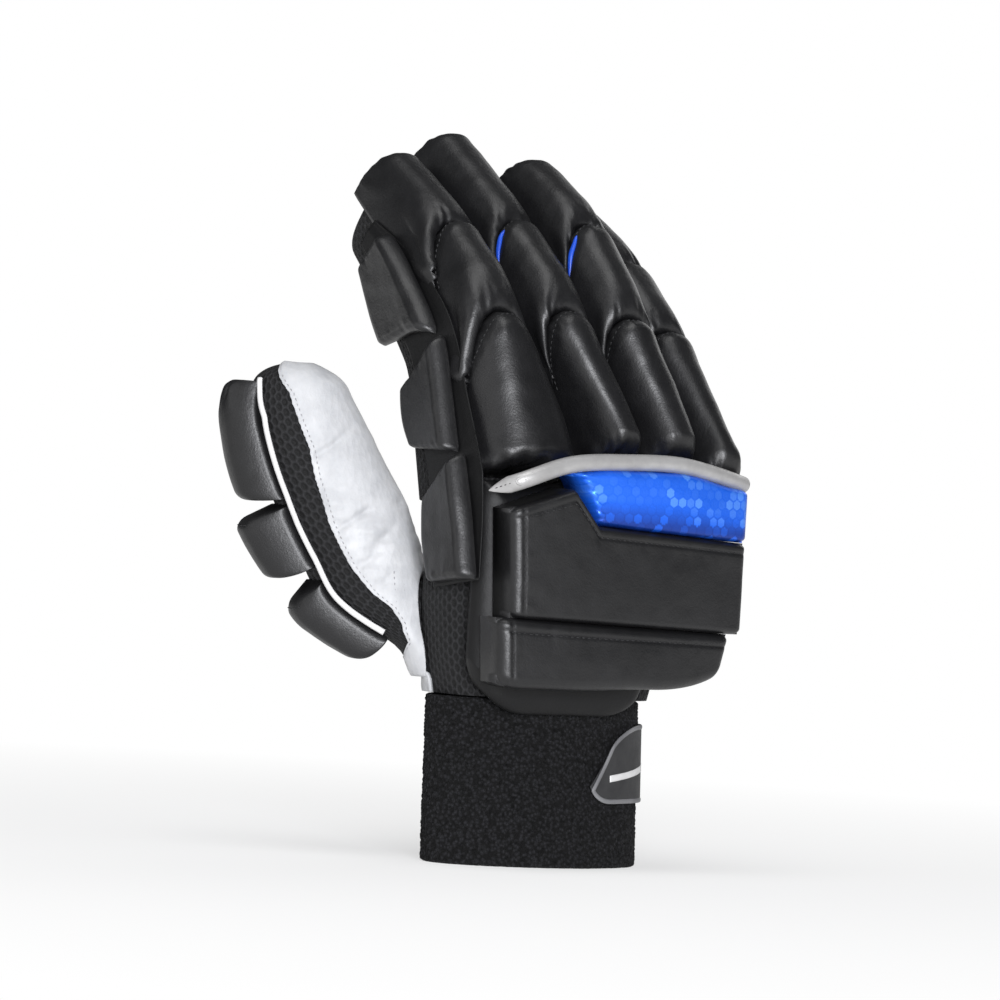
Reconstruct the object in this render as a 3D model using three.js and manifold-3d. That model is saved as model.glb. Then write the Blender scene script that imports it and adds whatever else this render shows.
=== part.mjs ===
// A right-hand cricket batting glove standing on the hem of its cuff, fingers up and curled towards the palm.
// Millimetres, +Z up. The back of the hand faces -Y, the palm +Y, the index finger and the thumb -X.
import * as THREE from "three";
import Module from "manifold-3d";

const wasm = await Module();
wasm.setup();

// Walls and gaps
const GAP = 0.4; // clear space left between two pieces that touch on the real glove
const LINING = 1.6; // mesh lining and its backing
const LEATHER = 1.0; // palm leather
const TERRY = 3.0; // double knitted terry of the cuff

// Cuff
const CUFF_HEIGHT = 65.4;
const CUFF_HALF_WIDTH = 49;
const CUFF_HALF_DEPTH = 26;
const CUFF_TAPER = 0.99; // width of its top edge over that of the hem
const CUFF_LEAN = -2.8; // how far the middle of its top edge stands to the thumb's side of the hem's

// Strap tab, sewn round the little-finger side of the cuff
const STRAP_CLEAR = 0.7;
const STRAP_THICK = 1.6;
const STRAP_TIP_TURN = 78; // degrees round the cuff from +X to the tip, over the back of the hand
const STRAP_TAIL_TURN = -80; // and to the sewn end, on the palm side
const STRAP_TOP = 56;
const STRAP_BOTTOM = 26;
const STRAP_SLANT = 13; // degrees by which the top corner of the tab stands back from its tip

// Hand chamber, from the cuff's top edge to the knuckles: z, centre x and y, half width and half depth
const CHAMBER = [
  { z: 66, x: 0, y: 0, wide: 47, deep: 22 },
  { z: 82, x: 0.5, y: 0, wide: 51, deep: 22 },
  { z: 102, x: 1.5, y: -1, wide: 55, deep: 21 },
  { z: 124, x: 4, y: -1.5, wide: 57.6, deep: 19.5 },
  { z: 150, x: 6, y: -1.5, wide: 59.6, deep: 18 },
];
const BOXY = 3.2; // exponent of the superellipse of the chamber and of the finger stalls

// Finger stalls: root of the axis, x at the tip, and for each of the three phalanges its length and its lean
// from the vertical in degrees; start is where the knuckle roll begins along the axis
const FINGERS = {
  index: { x: -40, tipX: -34, y: 2.7, z: 144.1, length: [56.8, 38.6, 45.4], lean: [16, 44, 53.5], start: 1.8 },
  middle: { x: -8.5, tipX: -8, y: -4.7, z: 149.6, length: [53.4, 41, 55], lean: [22, 43, 51], start: 0.6 },
  ring: { x: 22, tipX: 18.5, y: -4.7, z: 151.2, length: [52.5, 37.4, 38.4], lean: [21, 32, 54.5], start: -1 },
  little: { x: 52, tipX: 43.8, y: -1.9, z: 146.6, length: [52.2, 32, 30.4], lean: [30, 37.5, 50], start: -8 },
};
const ROOT_LEAN = 0.6; // lean below the knuckle over that of the first phalanx
const BEND = 14; // half length of the stretch over which a joint bends
// Stall and roll sizes at the root, the two joints and the tip
const HALF_WIDTH = [13.2, 12.7, 11.9, 11.2];
const HALF_DEPTH = [18, 16.5, 14.5, 12.5]; // towards the back of the hand
const PALM_DEPTH = [18, 20.5, 20.5, 17]; // towards the palm
const ROLL_HEIGHT = [27, 25, 20.5, 17];
const ROLL_HALF_WIDTH = [14.8, 14.2, 13.3, 12.6];
const ROLL_ARCH = 2.5; // exponent of the arch of a roll
const ROLL_CLEAR = 0.7; // added to the gap between a stall's back and the hollow under its rolls
const ROLL_SKIRT = 0.42; // height of its lower edges, over the stall's half depth
const SEAM_DROP = [22, 24]; // how far a seam between two rolls hangs lower at the sides than at the crest
const ROLL_END = 6.5; // length over which a roll's end rounds off
const ROLL_END_SHARE = 0.62; // thickness left at its very end
const TIP_DOME = 10;

// Thumb stall, from inside the hand to its tip: height, centre and half sizes
const THUMB_ACROSS = [0.79, -0.61]; // unit direction of its wide side
const THUMB = [
  { x: -41, y: 14, z: 72, wide: 7.5, deep: 9.5 },
  { x: -46.5, y: 18.5, z: 84, wide: 10, deep: 12.5 },
  { x: -52, y: 24, z: 91, wide: 16, deep: 14 },
  { x: -57, y: 28, z: 98, wide: 21.5, deep: 15 },
  { x: -64.8, y: 35, z: 116, wide: 24, deep: 15.5 },
  { x: -72.4, y: 42, z: 138, wide: 25.5, deep: 16 },
  { x: -79.6, y: 48.4, z: 157, wide: 23.8, deep: 15.5 },
  { x: -84.2, y: 52.8, z: 173, wide: 21, deep: 14 },
  { x: -85.8, y: 54.4, z: 182, wide: 17.5, deep: 12 },
  { x: -86.4, y: 54.8, z: 188, wide: 10.5, deep: 7.5 },
];

// Padding on the back of the hand: the front face lies at FRONT, the backs of the panels at BACK
const FRONT = -50;
const BACK = -32.4;
const EDGE_ROUND = 6;
const PANEL_RIGHT = 63.5; // side edge of the upper panels, on the little-finger side
const UPPER_LEFT = [-47.5, -50.5]; // other side edge of the upper panel, at its foot and at its head
const ACCENT_LEFT = [-10.6, -23.6];
const LOWER_LEFT = [-49, -53.5]; // side edges of the lower panel, at its foot and at half its height
const LOWER_RIGHT = [49, 58];
const CUSHION_SIDES = [-52, 58];

const black = new THREE.MeshStandardMaterial({ color: 0x1a1a1c, roughness: 0.5, metalness: 0 });
const mesh = new THREE.MeshStandardMaterial({ color: 0x101012, roughness: 0.95, metalness: 0 });
const white = new THREE.MeshStandardMaterial({ color: 0xf1f1f3, roughness: 0.6, metalness: 0 });
const silver = new THREE.MeshStandardMaterial({ color: 0xc6c4c2, roughness: 0.42, metalness: 0 });
const blue = new THREE.MeshStandardMaterial({ color: 0x1c5fdc, roughness: 0.35, metalness: 0.3 });
const terry = new THREE.MeshStandardMaterial({ color: 0x131314, roughness: 1, metalness: 0 });
const rubber = new THREE.MeshStandardMaterial({ color: 0x37373a, roughness: 0.7, metalness: 0 });

const glove = new THREE.Group();
glove.name = "cricket_batting_glove";

// Small helpers
const clamp = (t, low, high) => Math.min(Math.max(t, low), high);
const mix = (a, b, t) => a + (b - a) * t;
const ease = (t) => {
  const c = clamp(t, 0, 1);
  return c * c * (3 - 2 * c);
};
const power = (t, e) => Math.sign(t) * Math.abs(t) ** e;
const radians = (d) => (d * Math.PI) / 180;
const point = (x, y, z) => new THREE.Vector3(x, y, z);

// Value at t of a row of numbers spread evenly or at the given places
function along(places, values, t) {
  const last = places.length - 1;
  let i = 0;
  while (i < last - 1 && t > places[i + 1]) i += 1;
  const share = clamp((t - places[i]) / (places[i + 1] - places[i]), 0, 1);
  return mix(values[i], values[i + 1], share);
}

// An indexed geometry with its faces turned outwards
function closed(points, faces) {
  let volume = 0;
  for (const [a, b, c] of faces) volume += points[a].dot(points[b].clone().cross(points[c]));
  const turned = volume < 0 ? faces.map(([a, b, c]) => [a, c, b]) : faces;
  const geometry = new THREE.BufferGeometry().setFromPoints(points);
  geometry.setIndex(turned.flat());
  return geometry;
}

// A closed pad between an under surface (side 0) and an outer one (side 1), at the given shares across and along
function slab(us, vs, at) {
  const points = [];
  const faces = [];
  const rows = vs.length;
  const id = (i, j, side) => (side * us.length + i) * rows + j;
  for (const side of [0, 1]) for (const u of us) for (const v of vs) points.push(at(u, v, side));
  const quad = (a, b, c, d) => faces.push([a, b, c], [a, c, d]);
  for (let i = 0; i < us.length - 1; i++)
    for (let j = 0; j < rows - 1; j++) {
      quad(id(i, j, 1), id(i + 1, j, 1), id(i + 1, j + 1, 1), id(i, j + 1, 1));
      quad(id(i, j, 0), id(i, j + 1, 0), id(i + 1, j + 1, 0), id(i + 1, j, 0));
    }
  for (let i = 0; i < us.length - 1; i++) {
    quad(id(i, 0, 0), id(i + 1, 0, 0), id(i + 1, 0, 1), id(i, 0, 1));
    quad(id(i, rows - 1, 0), id(i, rows - 1, 1), id(i + 1, rows - 1, 1), id(i + 1, rows - 1, 0));
  }
  const end = us.length - 1;
  for (let j = 0; j < rows - 1; j++) {
    quad(id(0, j, 0), id(0, j, 1), id(0, j + 1, 1), id(0, j + 1, 0));
    quad(id(end, j, 0), id(end, j + 1, 0), id(end, j + 1, 1), id(end, j, 1));
  }
  return closed(points, faces);
}

// A tube of closed rings. Rings of the outer wall come first, then those of the inner wall from the far end
// back; a ring may be a single point, which closes the tube there.
function rings(list) {
  const points = [];
  const faces = [];
  const starts = list.map((ring) => {
    const start = points.length;
    points.push(...ring);
    return start;
  });
  for (let k = 0; k < list.length; k++) {
    const next = (k + 1) % list.length;
    const [a, b] = [list[k], list[next]];
    if (a.length === 1 && b.length === 1) continue;
    const n = Math.max(a.length, b.length);
    for (let i = 0; i < n; i++) {
      const j = (i + 1) % n;
      const [p, q] = [starts[k] + (a.length === 1 ? 0 : i), starts[k] + (a.length === 1 ? 0 : j)];
      const [r, s] = [starts[next] + (b.length === 1 ? 0 : i), starts[next] + (b.length === 1 ? 0 : j)];
      if (a.length > 1) faces.push([p, q, r]);
      if (b.length > 1) faces.push([q, s, r]);
    }
  }
  return closed(points, faces);
}

const around = (n, at) => Array.from({ length: n }, (_, i) => at((i / n) * 2 * Math.PI));
const steps = (n) => Array.from({ length: n + 1 }, (_, i) => i / n);

function solidOf(geometry) {
  return new wasm.Manifold(
    new wasm.Mesh({
      numProp: 3,
      vertProperties: geometry.getAttribute("position").array,
      triVerts: new Uint32Array(geometry.index.array),
    }),
  );
}

function geometryOf(solid) {
  const cut = solid.getMesh();
  return new THREE.BufferGeometry()
    .setAttribute("position", new THREE.BufferAttribute(new Float32Array(cut.vertProperties), 3))
    .setIndex(new THREE.BufferAttribute(new Uint32Array(cut.triVerts), 1));
}

// The largest body of a cut solid
function biggest(solid) {
  return solid.decompose().reduce((a, b) => (a.volume() > b.volume() ? a : b));
}

function add(name, geometry, material) {
  geometry.computeVertexNormals();
  const node = new THREE.Mesh(geometry, material);
  node.name = name;
  glove.add(node);
}

// Cuff and strap

function cuffPoint(turn, z, out) {
  const taper = mix(1, CUFF_TAPER, z / CUFF_HEIGHT);
  const wide = CUFF_HALF_WIDTH * taper + out;
  const deep = CUFF_HALF_DEPTH * taper + out;
  return point(CUFF_LEAN * (z / CUFF_HEIGHT) + wide * Math.cos(turn), -deep * Math.sin(turn), z);
}

const CUFF_SIDES = 28;
const cuffRows = [0, CUFF_HEIGHT * 0.5, CUFF_HEIGHT];
add(
  "wristband",
  rings([
    ...cuffRows.map((z) => around(CUFF_SIDES, (t) => cuffPoint(t, z, 0))),
    ...[...cuffRows].reverse().map((z) => around(CUFF_SIDES, (t) => cuffPoint(t, z, -TERRY))),
  ]),
  terry,
);

add(
  "wrist_strap",
  slab(steps(14), [0, 0.12, 0.88, 1], (u, v, side) => {
    const round = ease((1 - u) / 0.12); // the tip narrows from below
    const low = mix(STRAP_BOTTOM + 7, STRAP_BOTTOM, round);
    const tip = STRAP_TIP_TURN - STRAP_SLANT * v;
    const turn = radians(mix(STRAP_TAIL_TURN, tip, u));
    return cuffPoint(turn, mix(low, STRAP_TOP, v), STRAP_CLEAR + side * STRAP_THICK);
  }),
  rubber,
);

// Fingers

// The axis of a finger: its lean eases from one phalanx to the next, and it is walked in steps of a millimetre
function fingerPath(finger) {
  const [first, second, third] = finger.length;
  const [a, b, c] = finger.lean;
  const total = first + second + third;
  const lean = (s) =>
    a * mix(ROOT_LEAN, 1, ease((s + 24) / 30)) +
    (b - a) * ease((s - first + BEND) / (2 * BEND)) +
    (c - b) * ease((s - first - second + BEND) / (2 * BEND));
  const walk = new Map([[0, [finger.y, finger.z]]]);
  for (const way of [1, -1]) {
    let [y, z] = [finger.y, finger.z];
    for (let s = 0; Math.abs(s) <= total + 20; s += way) {
      walk.set(s, [y, z]);
      const t = radians(lean(s + way / 2));
      y += way * Math.sin(t);
      z += way * Math.cos(t);
    }
  }
  const joints = [0, first, first + second, total];
  const place = (s, x, n) => {
    const low = Math.floor(s);
    const [p, q] = [walk.get(low), walk.get(low + 1)];
    const t = radians(lean(s));
    const mid = mix(finger.x, finger.tipX, s / total);
    return point(
      mid + x,
      mix(p[0], q[0], s - low) - n * Math.cos(t),
      mix(p[1], q[1], s - low) + n * Math.sin(t),
    );
  };
  return { place, joints, total, size: (row, s) => along(joints, row, s) };
}

const paths = Object.fromEntries(Object.entries(FINGERS).map(([name, f]) => [name, fingerPath(f)]));

// Half sizes of a stall grown by out; they close over the tip as a dome
function stallSize(path, s, out) {
  const dome = clamp((s - (path.total - TIP_DOME)) / (TIP_DOME + out), 0, 1);
  const round = Math.sqrt(1 - dome ** 2);
  return [HALF_WIDTH, HALF_DEPTH, PALM_DEPTH].map((row) => (path.size(row, s) + out) * round);
}

function stallPoint(path, s, turn, out) {
  const [wide, back, palm] = stallSize(path, s, out);
  const deep = Math.sin(turn) < 0 ? palm : back;
  return path.place(s, wide * power(Math.cos(turn), 2 / BOXY), deep * power(Math.sin(turn), 2 / BOXY));
}

const STALL_SIDES = 16;
const STALL_ROWS = [0.16, 0.32, 0.45, 0.6, 0.75, 0.88];
const sideTurns = (from, to, sides) => Array.from({ length: to - from + 1 }, (_, k) => ((from + k) / sides) * 360);

// Places of a stall's rings along its axis
function stallRows(path, out) {
  const shaft = path.total - TIP_DOME;
  return [
    GAP,
    ...STALL_ROWS.map((t) => t * shaft),
    shaft,
    shaft + 0.62 * (TIP_DOME + out),
    shaft + 0.9 * (TIP_DOME + out),
  ];
}

function stall(path) {
  const wall = (out) => [
    ...stallRows(path, out).map((s) => around(STALL_SIDES, (t) => stallPoint(path, s, t, out))),
    [path.place(path.total + out, 0, 0)],
  ];
  return rings([...wall(0), ...wall(-LINING).reverse()]);
}

// Palm leather of a finger: the palm half of the stall, from its root to over the tip
function fingerSkin(path) {
  const rows = stallRows(path, 0).slice(0, -1);
  return slab(sideTurns(10, 14, STALL_SIDES), rows, (turn, s, side) =>
    stallPoint(path, s, radians(turn), 0.3 + side * LEATHER),
  );
}

// Outer and under surface of the padding over a finger at s and at the angle turn of the arch, 0 to 180 degrees
function rollPoint(path, s, turn, side, thick) {
  // below the root plane there is no stall between the fingers, so the skirt stays clear of the chamber
  const skirt = path.size(HALF_DEPTH, s) * mix(1.1, ROLL_SKIRT, ease((s + 1) / 4));
  const [wide, deep] = stallSize(path, Math.min(s, path.total - TIP_DOME * 0.75), GAP);
  const under = [
    wide * power(Math.cos(turn), 2 / BOXY),
    Math.max(skirt, (deep + ROLL_CLEAR) * power(Math.sin(turn), 2 / BOXY)),
  ];
  const crest = path.size(HALF_DEPTH, s) + path.size(ROLL_HEIGHT, s);
  const outer = [
    path.size(ROLL_HALF_WIDTH, s) * power(Math.cos(turn), 2 / ROLL_ARCH),
    skirt + (crest - skirt) * power(Math.sin(turn), 2 / ROLL_ARCH),
  ];
  const share = side * thick;
  return [mix(under[0], outer[0], share), mix(under[1], outer[1], share)];
}

// How far a seam hangs below the crest at x
function seamDrop(path, s, x, drop) {
  const u = clamp(Math.abs(x) / path.size(ROLL_HALF_WIDTH, s), 0, 1);
  return drop * (1 - Math.sqrt(1 - 0.98 * u * u));
}

const ROLL_TURNS = sideTurns(0, 8, 16);
const ROLL_ROWS = [0, 0.05, 0.2, 0.45, 0.7, 0.93, 1];

function roll(path, from, to, dropLow, dropHigh) {
  return slab(ROLL_TURNS, ROLL_ROWS, (turn, v, side) => {
    const rough = mix(from, to, v);
    const rest = Math.min(v, 1 - v) * (to - from);
    const round = 1 - (1 - clamp(rest / ROLL_END, 0, 1)) ** 2;
    const thick = mix(ROLL_END_SHARE, 1, Math.sqrt(round));
    const [x] = rollPoint(path, rough, radians(turn), side, thick);
    const low = from - seamDrop(path, from, x, dropLow);
    const high = to - seamDrop(path, to, x, dropHigh);
    const s = mix(low, high, v);
    const [across, up] = rollPoint(path, s, radians(turn), side, thick);
    return path.place(s, across, up);
  });
}

const ROLL_NAMES = ["proximal", "middle", "distal"];
const SEAM_GAP = 0.45;

for (const [name, path] of Object.entries(paths)) {
  add("liner_" + name, stall(path), mesh);
  add("leather_" + name, fingerSkin(path), white);
  const [, first, second, tip] = path.joints;
  const ends = [FINGERS[name].start, first, second, tip];
  const drops = [0, ...SEAM_DROP, 0];
  ROLL_NAMES.forEach((part, k) => {
    const body = roll(path, ends[k] + SEAM_GAP, ends[k + 1] - SEAM_GAP, drops[k], drops[k + 1]);
    add(`roll_${name}_${part}`, body, black);
  });
}

// Side of the index finger and of the hand: a leather strip, and three pads over it

const indexPath = paths.index;

// Point beside the index finger, out beyond the sides of its rolls
function besideIndex(s, n, out) {
  return indexPath.place(s, -(indexPath.size(ROLL_HALF_WIDTH, s) + out), n);
}

const STRIP_THICK = 1.3;
// Edges of the strip along the finger: where, and its heights off the axis on the palm side and at the rolls
const STRIP = { along: [-38, 0, 42, 72, 122], palm: [2, 1, -4, -7, -4], rolls: [30, 35.5, 30, 23, 9] };
add(
  "index_side_panel",
  slab([0, 0.5, 1], [...steps(9)], (u, v, side) => {
    const s = mix(STRIP.along[0], STRIP.along.at(-1), v);
    const n = mix(along(STRIP.along, STRIP.palm, s), along(STRIP.along, STRIP.rolls, s), u);
    return besideIndex(s, n, GAP + side * STRIP_THICK);
  }),
  black,
);

// Corners of the side pads: place along the finger and height off its axis, round from the low palm corner
const SIDE_PADS = {
  proximal: [[-36, 2], [-38, 29.5], [8.5, 23.5], [-3, 0]],
  middle: [[19, -6.5], [11, 19.5], [54.5, 16], [43, -10.5]],
  distal: [[74.5, -18], [57, 12.5], [107, 11], [113, -9]],
};
const SIDE_PAD_THICK = 6.6;
const SIDE_PAD_IN = GAP + STRIP_THICK + GAP;
for (const [name, [palmLow, backLow, backHigh, palmHigh]] of Object.entries(SIDE_PADS))
  add(
    "side_pad_" + name,
    slab([0, 0.14, 0.5, 0.86, 1], [0, 0.08, 0.3, 0.5, 0.7, 0.92, 1], (u, v, side) => {
      const bow = 2.5 * Math.sin(Math.PI * v) * (1 - u); // the palm edge bulges
      const s = mix(mix(palmLow[0], backLow[0], u), mix(palmHigh[0], backHigh[0], u), v);
      const n = mix(mix(palmLow[1], backLow[1], u), mix(palmHigh[1], backHigh[1], u), v) - bow;
      const rim = Math.min(Math.min(u, 1 - u) / 0.14, Math.min(v, 1 - v) / 0.08, 1);
      return besideIndex(s, n, SIDE_PAD_IN + side * SIDE_PAD_THICK * mix(0.45, 1, rim));
    }),
    black,
  );

// Hand chamber

const fingerX = Object.values(FINGERS).map((f) => f.x);
const fingerY = Object.values(FINGERS).map((f) => f.y);
const fingerZ = Object.values(FINGERS).map((f) => f.z);
const fingerLean = Object.values(FINGERS).map((f) => f.lean[0]);
const chamberZ = CHAMBER.map((row) => row.z);

const RIM_RISE = 2; // most that its top edge rises towards the back of the hand

// Height of the open top edge of the chamber at x, y: just under the root planes of the stalls
function knuckleLine(x, y) {
  const lean = radians(along(fingerX, fingerLean, x));
  const rise = Math.tan(lean) * (along(fingerX, fingerY, x) - y);
  return along(fingerX, fingerZ, x) + Math.min(rise, RIM_RISE) - 2.4 * GAP;
}

function chamberPoint(turn, v, out) {
  const at = (z) => {
    const [wide, deep] = ["wide", "deep"].map((key) => along(chamberZ, CHAMBER.map((r) => r[key]), z));
    return point(
      along(chamberZ, CHAMBER.map((r) => r.x), z) + (wide + out) * power(Math.cos(turn), 2 / BOXY),
      along(chamberZ, CHAMBER.map((r) => r.y), z) - (deep + out) * power(Math.sin(turn), 2 / BOXY),
      z,
    );
  };
  const rim = at(FINGERS.index.z);
  const z = mix(CHAMBER[0].z, knuckleLine(rim.x, rim.y), v);
  return at(z);
}

const CHAMBER_SIDES = 28;
const CHAMBER_ROWS = [0, 0.2, 0.46, 0.74, 1];

function chamberShell(outer, inner, rows) {
  return rings([
    ...rows.map((v) => around(CHAMBER_SIDES, (t) => chamberPoint(t, v, outer))),
    ...[...rows].reverse().map((v) => around(CHAMBER_SIDES, (t) => chamberPoint(t, v, inner))),
  ]);
}

// The same outline as a full body, for cutting
function chamberBody(out) {
  const middle = (z) => [point(4, 0, z)];
  const rows = CHAMBER_ROWS.map((v) => around(CHAMBER_SIDES, (t) => chamberPoint(t, v, out)));
  const below = rows[0].map((p) => point(p.x, p.y, p.z - 12));
  return rings([middle(54), below, ...rows, middle(150)]);
}

// Thumb stall

const thumbShare = steps(THUMB.length - 1);
const thumbColumn = (key) => THUMB.map((row) => row[key]);

function thumbPoint(share, turn, out) {
  const at = (key) => along(thumbShare, thumbColumn(key), share);
  const grown = share > 0.99 ? 0.5 * out : out;
  const across = (at("wide") + grown) * Math.cos(turn);
  const depth = (at("deep") + grown) * Math.sin(turn);
  return point(
    at("x") + across * THUMB_ACROSS[0] - depth * THUMB_ACROSS[1],
    at("y") + across * THUMB_ACROSS[1] + depth * THUMB_ACROSS[0],
    at("z"),
  );
}

const THUMB_SIDES = 16;
const THUMB_TOP = 190.5;

function thumbWall(out) {
  return [
    ...thumbShare.map((share) => around(THUMB_SIDES, (t) => thumbPoint(share, t, out))),
    [point(THUMB.at(-1).x, THUMB.at(-1).y, THUMB_TOP + out)],
  ];
}

function thumbBody(out) {
  const foot = THUMB[0];
  return rings([[point(foot.x, foot.y, foot.z - 1)], ...thumbWall(out)]);
}

const thumbShell = rings([...thumbWall(0), ...thumbWall(-LINING).reverse()]);
const handCut = solidOf(chamberBody(GAP));
const thumbInside = solidOf(thumbBody(-LINING));

add(
  "palm_liner",
  geometryOf(biggest(solidOf(chamberShell(0, -LINING, CHAMBER_ROWS)).subtract(thumbInside))),
  mesh,
);
add("liner_thumb", geometryOf(biggest(solidOf(thumbShell).subtract(handCut))), mesh);

const palmSheet = slab(sideTurns(16, 26, CHAMBER_SIDES), CHAMBER_ROWS, (turn, v, side) =>
  chamberPoint(radians(turn), v, 0.3 + side * LEATHER),
);
add("palm_leather", geometryOf(biggest(solidOf(palmSheet).subtract(solidOf(thumbBody(LEATHER + 0.7))))), white);

// Thumb leather: from the mesh strip at the front round the inner side to the back of the thumb
const thumbSheet = slab(sideTurns(-4, 5, THUMB_SIDES), thumbShare, (turn, v, side) =>
  thumbPoint(v, radians(turn), 0.5 + side * LEATHER),
);
add(
  "thumb_leather",
  geometryOf(biggest(solidOf(thumbSheet).subtract(solidOf(chamberBody(LEATHER + 0.7))))),
  white,
);

// Thumb pads along its outer edge, fanned out: heights on the stall, fall below level of their two ends in
// degrees, and reach
const THUMB_PADS = {
  upper: { from: 137.6, to: 182.5, fall: [11, -7], reach: [12.5, 12] },
  middle: { from: 112.5, to: 135.2, fall: [35, 29], reach: [14, 17] },
  lower: { from: 88, to: 109.5, fall: [50, 44], reach: [16, 16.5] },
};

function thumbPad(pad) {
  const turns = sideTurns(6, 10, THUMB_SIDES);
  return slab(turns, [0, 0.14, 0.46, 0.7, 0.88, 1], (turn, v, side) => {
    const rim = turn > turns[0] && turn < turns.at(-1) ? 1 : 0.5;
    const end = mix(0.72, 1, clamp(Math.min(v, 1 - v) / 0.12, 0, 1));
    const share = along(thumbColumn("z"), thumbShare, mix(pad.from, pad.to, v));
    const base = thumbPoint(share, radians(turn), 3 * GAP);
    const lift = side * mix(...pad.reach, v) * rim * end;
    const fall = radians(mix(...pad.fall, v));
    const level = lift * Math.cos(fall);
    return point(
      base.x - THUMB_ACROSS[0] * level,
      base.y - THUMB_ACROSS[1] * level,
      base.z - lift * Math.sin(fall),
    );
  });
}
for (const [name, pad] of Object.entries(THUMB_PADS)) add("thumb_pad_" + name, thumbPad(pad), black);

// Bead between the thumb pads and the mesh
const BEAD_RADIUS = 1.2;
const BEAD_TURN = 236; // degrees round the stall
const BEAD_SPAN = [88, 183]; // heights of its two ends
const beadPath = new THREE.CatmullRomCurve3(
  steps(8).map((t) => {
    const share = along(thumbColumn("z"), thumbShare, mix(...BEAD_SPAN, t));
    return thumbPoint(share, radians(BEAD_TURN), BEAD_RADIUS + 2 * GAP);
  }),
);

// A round cord of the given radius along a curve
function cord(curve, radius, sides, count) {
  const ring = around(sides, (t) => new THREE.Vector2(radius * Math.cos(t), radius * Math.sin(t)));
  return new THREE.ExtrudeGeometry(new THREE.Shape(ring), { steps: count, extrudePath: curve });
}
add("thumb_piping", cord(beadPath, BEAD_RADIUS, 6, 12), white);

// Padding on the back of the hand

// A panel with rounded front edges. left, right, low and high give its outline at a share across or up.
function panel(outline, back, front, bow, us = [0, 0.02, 0.07, 0.3, 0.5, 0.7, 0.93, 0.98, 1]) {
  const vs = [0, 0.08, 0.25, 0.5, 0.75, 0.92, 1];
  return slab(us, vs, (u, v, side) => {
    const [x, z, width, height] = outline(u, v);
    const rim = Math.min(Math.min(u, 1 - u) * width, Math.min(v, 1 - v) * height);
    const soft = 1 - (1 - clamp(rim / EDGE_ROUND, 0, 1)) ** 2;
    const depth = (front - back) * mix(0.66, 1, Math.sqrt(soft));
    const curve = bow * (2 * u - 1) ** 2;
    return point(x, back + side * (depth + curve), z);
  });
}

// Bottom and top lines of the pieces at x
const lowerFoot = (x) => along([-54, -44, 12, 40, 58], [73, 70.8, 71.5, 74.5, 79], x);
const lowerHead = (x) => along([-54, 58], [98, 94.6], x);
const upperFoot = (x) => lowerHead(x) + 1.4;
const notchLine = (x) => along([-51, -23, -11, 62], [139.8, 148.8, 134.8, 130.6], x);
const accentFoot = (x) => along([-24, -11, 60], [153, 135.6, 131.4], x);
const accentHead = (x) => along([-24, 60], [153.6, 150.2], x);

function strip(left, right, foot, head) {
  return (u, v) => {
    const x = mix(left(v), right(v), u);
    return [x, mix(foot(x), head(x), v), right(v) - left(v), head(x) - foot(x)];
  };
}

const lowerSide = (side) => (v) => mix(...side, ease(v * 2));
add(
  "lower_panel",
  panel(strip(lowerSide(LOWER_LEFT), lowerSide(LOWER_RIGHT), lowerFoot, lowerHead), BACK, FRONT, 3),
  black,
);
add(
  "upper_panel",
  panel(strip((v) => mix(...UPPER_LEFT, v), () => PANEL_RIGHT, upperFoot, notchLine), BACK, FRONT, 3, [
    0, 0.02, 0.07, 0.245, 0.352, 0.65, 0.93, 0.98, 1,
  ]),
  black,
);
add(
  "accent_pad",
  panel(strip((v) => mix(...ACCENT_LEFT, v), () => PANEL_RIGHT, accentFoot, accentHead), BACK, FRONT - 0.5, 3),
  blue,
);

// Cushion under the panels; it hangs over the top edge of the cuff
const chamberFront = Math.min(...CHAMBER.map((row) => row.y - row.deep));
const CUSHION_TOP = Math.min(...fingerZ) - 3 * GAP;
const cushionFoot = (x) => along([-52, -44, -30, 18, 32, 58], [80, 66, 60, 60, 66, 92], x);
add(
  "base_cushion",
  slab([0, 0.05, 0.12, 0.25, 0.4, 0.55, 0.7, 0.8, 0.9, 1], [0, 0.06, 0.16, 0.4, 0.7, 0.94, 1], (u, v, side) => {
    const x = mix(...CUSHION_SIDES, u);
    const z = mix(cushionFoot(x), CUSHION_TOP, v);
    const rim = Math.min(Math.min(u, 1 - u) * 110, Math.min(v, 1 - v) * 80);
    const soft = Math.sqrt(1 - (1 - clamp(rim / 7, 0, 1)) ** 2);
    const front = BACK + GAP;
    const behind = -CUFF_HALF_DEPTH - GAP;
    const base = mix(behind, chamberFront - GAP, ease((z - CUFF_HEIGHT) / 8));
    return point(x, side ? mix(base, front, mix(0.5, 1, soft)) : base, z);
  }),
  black,
);

// Round pipe between the knuckle rolls and the panels
const PIPE_RADIUS = 3;
const pipePath = new THREE.CatmullRomCurve3([
  point(-56, -36.5, 146.4),
  point(-48.5, -45, 150.4),
  point(-25, -46.5, 158),
  point(2, -47, 160),
  point(29, -47, 159.8),
  point(47.5, -45.5, 156.8),
  point(65, -41.5, 153.2),
]);
add("knuckle_pipe", cord(pipePath, PIPE_RADIUS, 8, 20), silver);

// Bottom centre of the bounding box at the origin
const bounds = new THREE.Box3().setFromObject(glove);
const middle = bounds.getCenter(point(0, 0, 0));
for (const node of glove.children) node.geometry.translate(-middle.x, -middle.y, -bounds.min.z);

export default glove;
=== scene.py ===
# %% [markdown]
# A right-hand cricket batting glove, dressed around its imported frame.
# The frame holds every piece of the glove as a plain solid. This script puts finely made surfaces in their
# stead: padded leather rolls, mesh, terry and piping. It keeps the solids' places and sizes, except that the
# rolls near the knuckles lean further to the little finger's side than the solids do. Each surface is a
# function of two shares, u across and v along, worked out with numpy for a whole grid at once.

import math

import bmesh
import bpy
import numpy as np
from mathutils import Matrix, Vector


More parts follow.
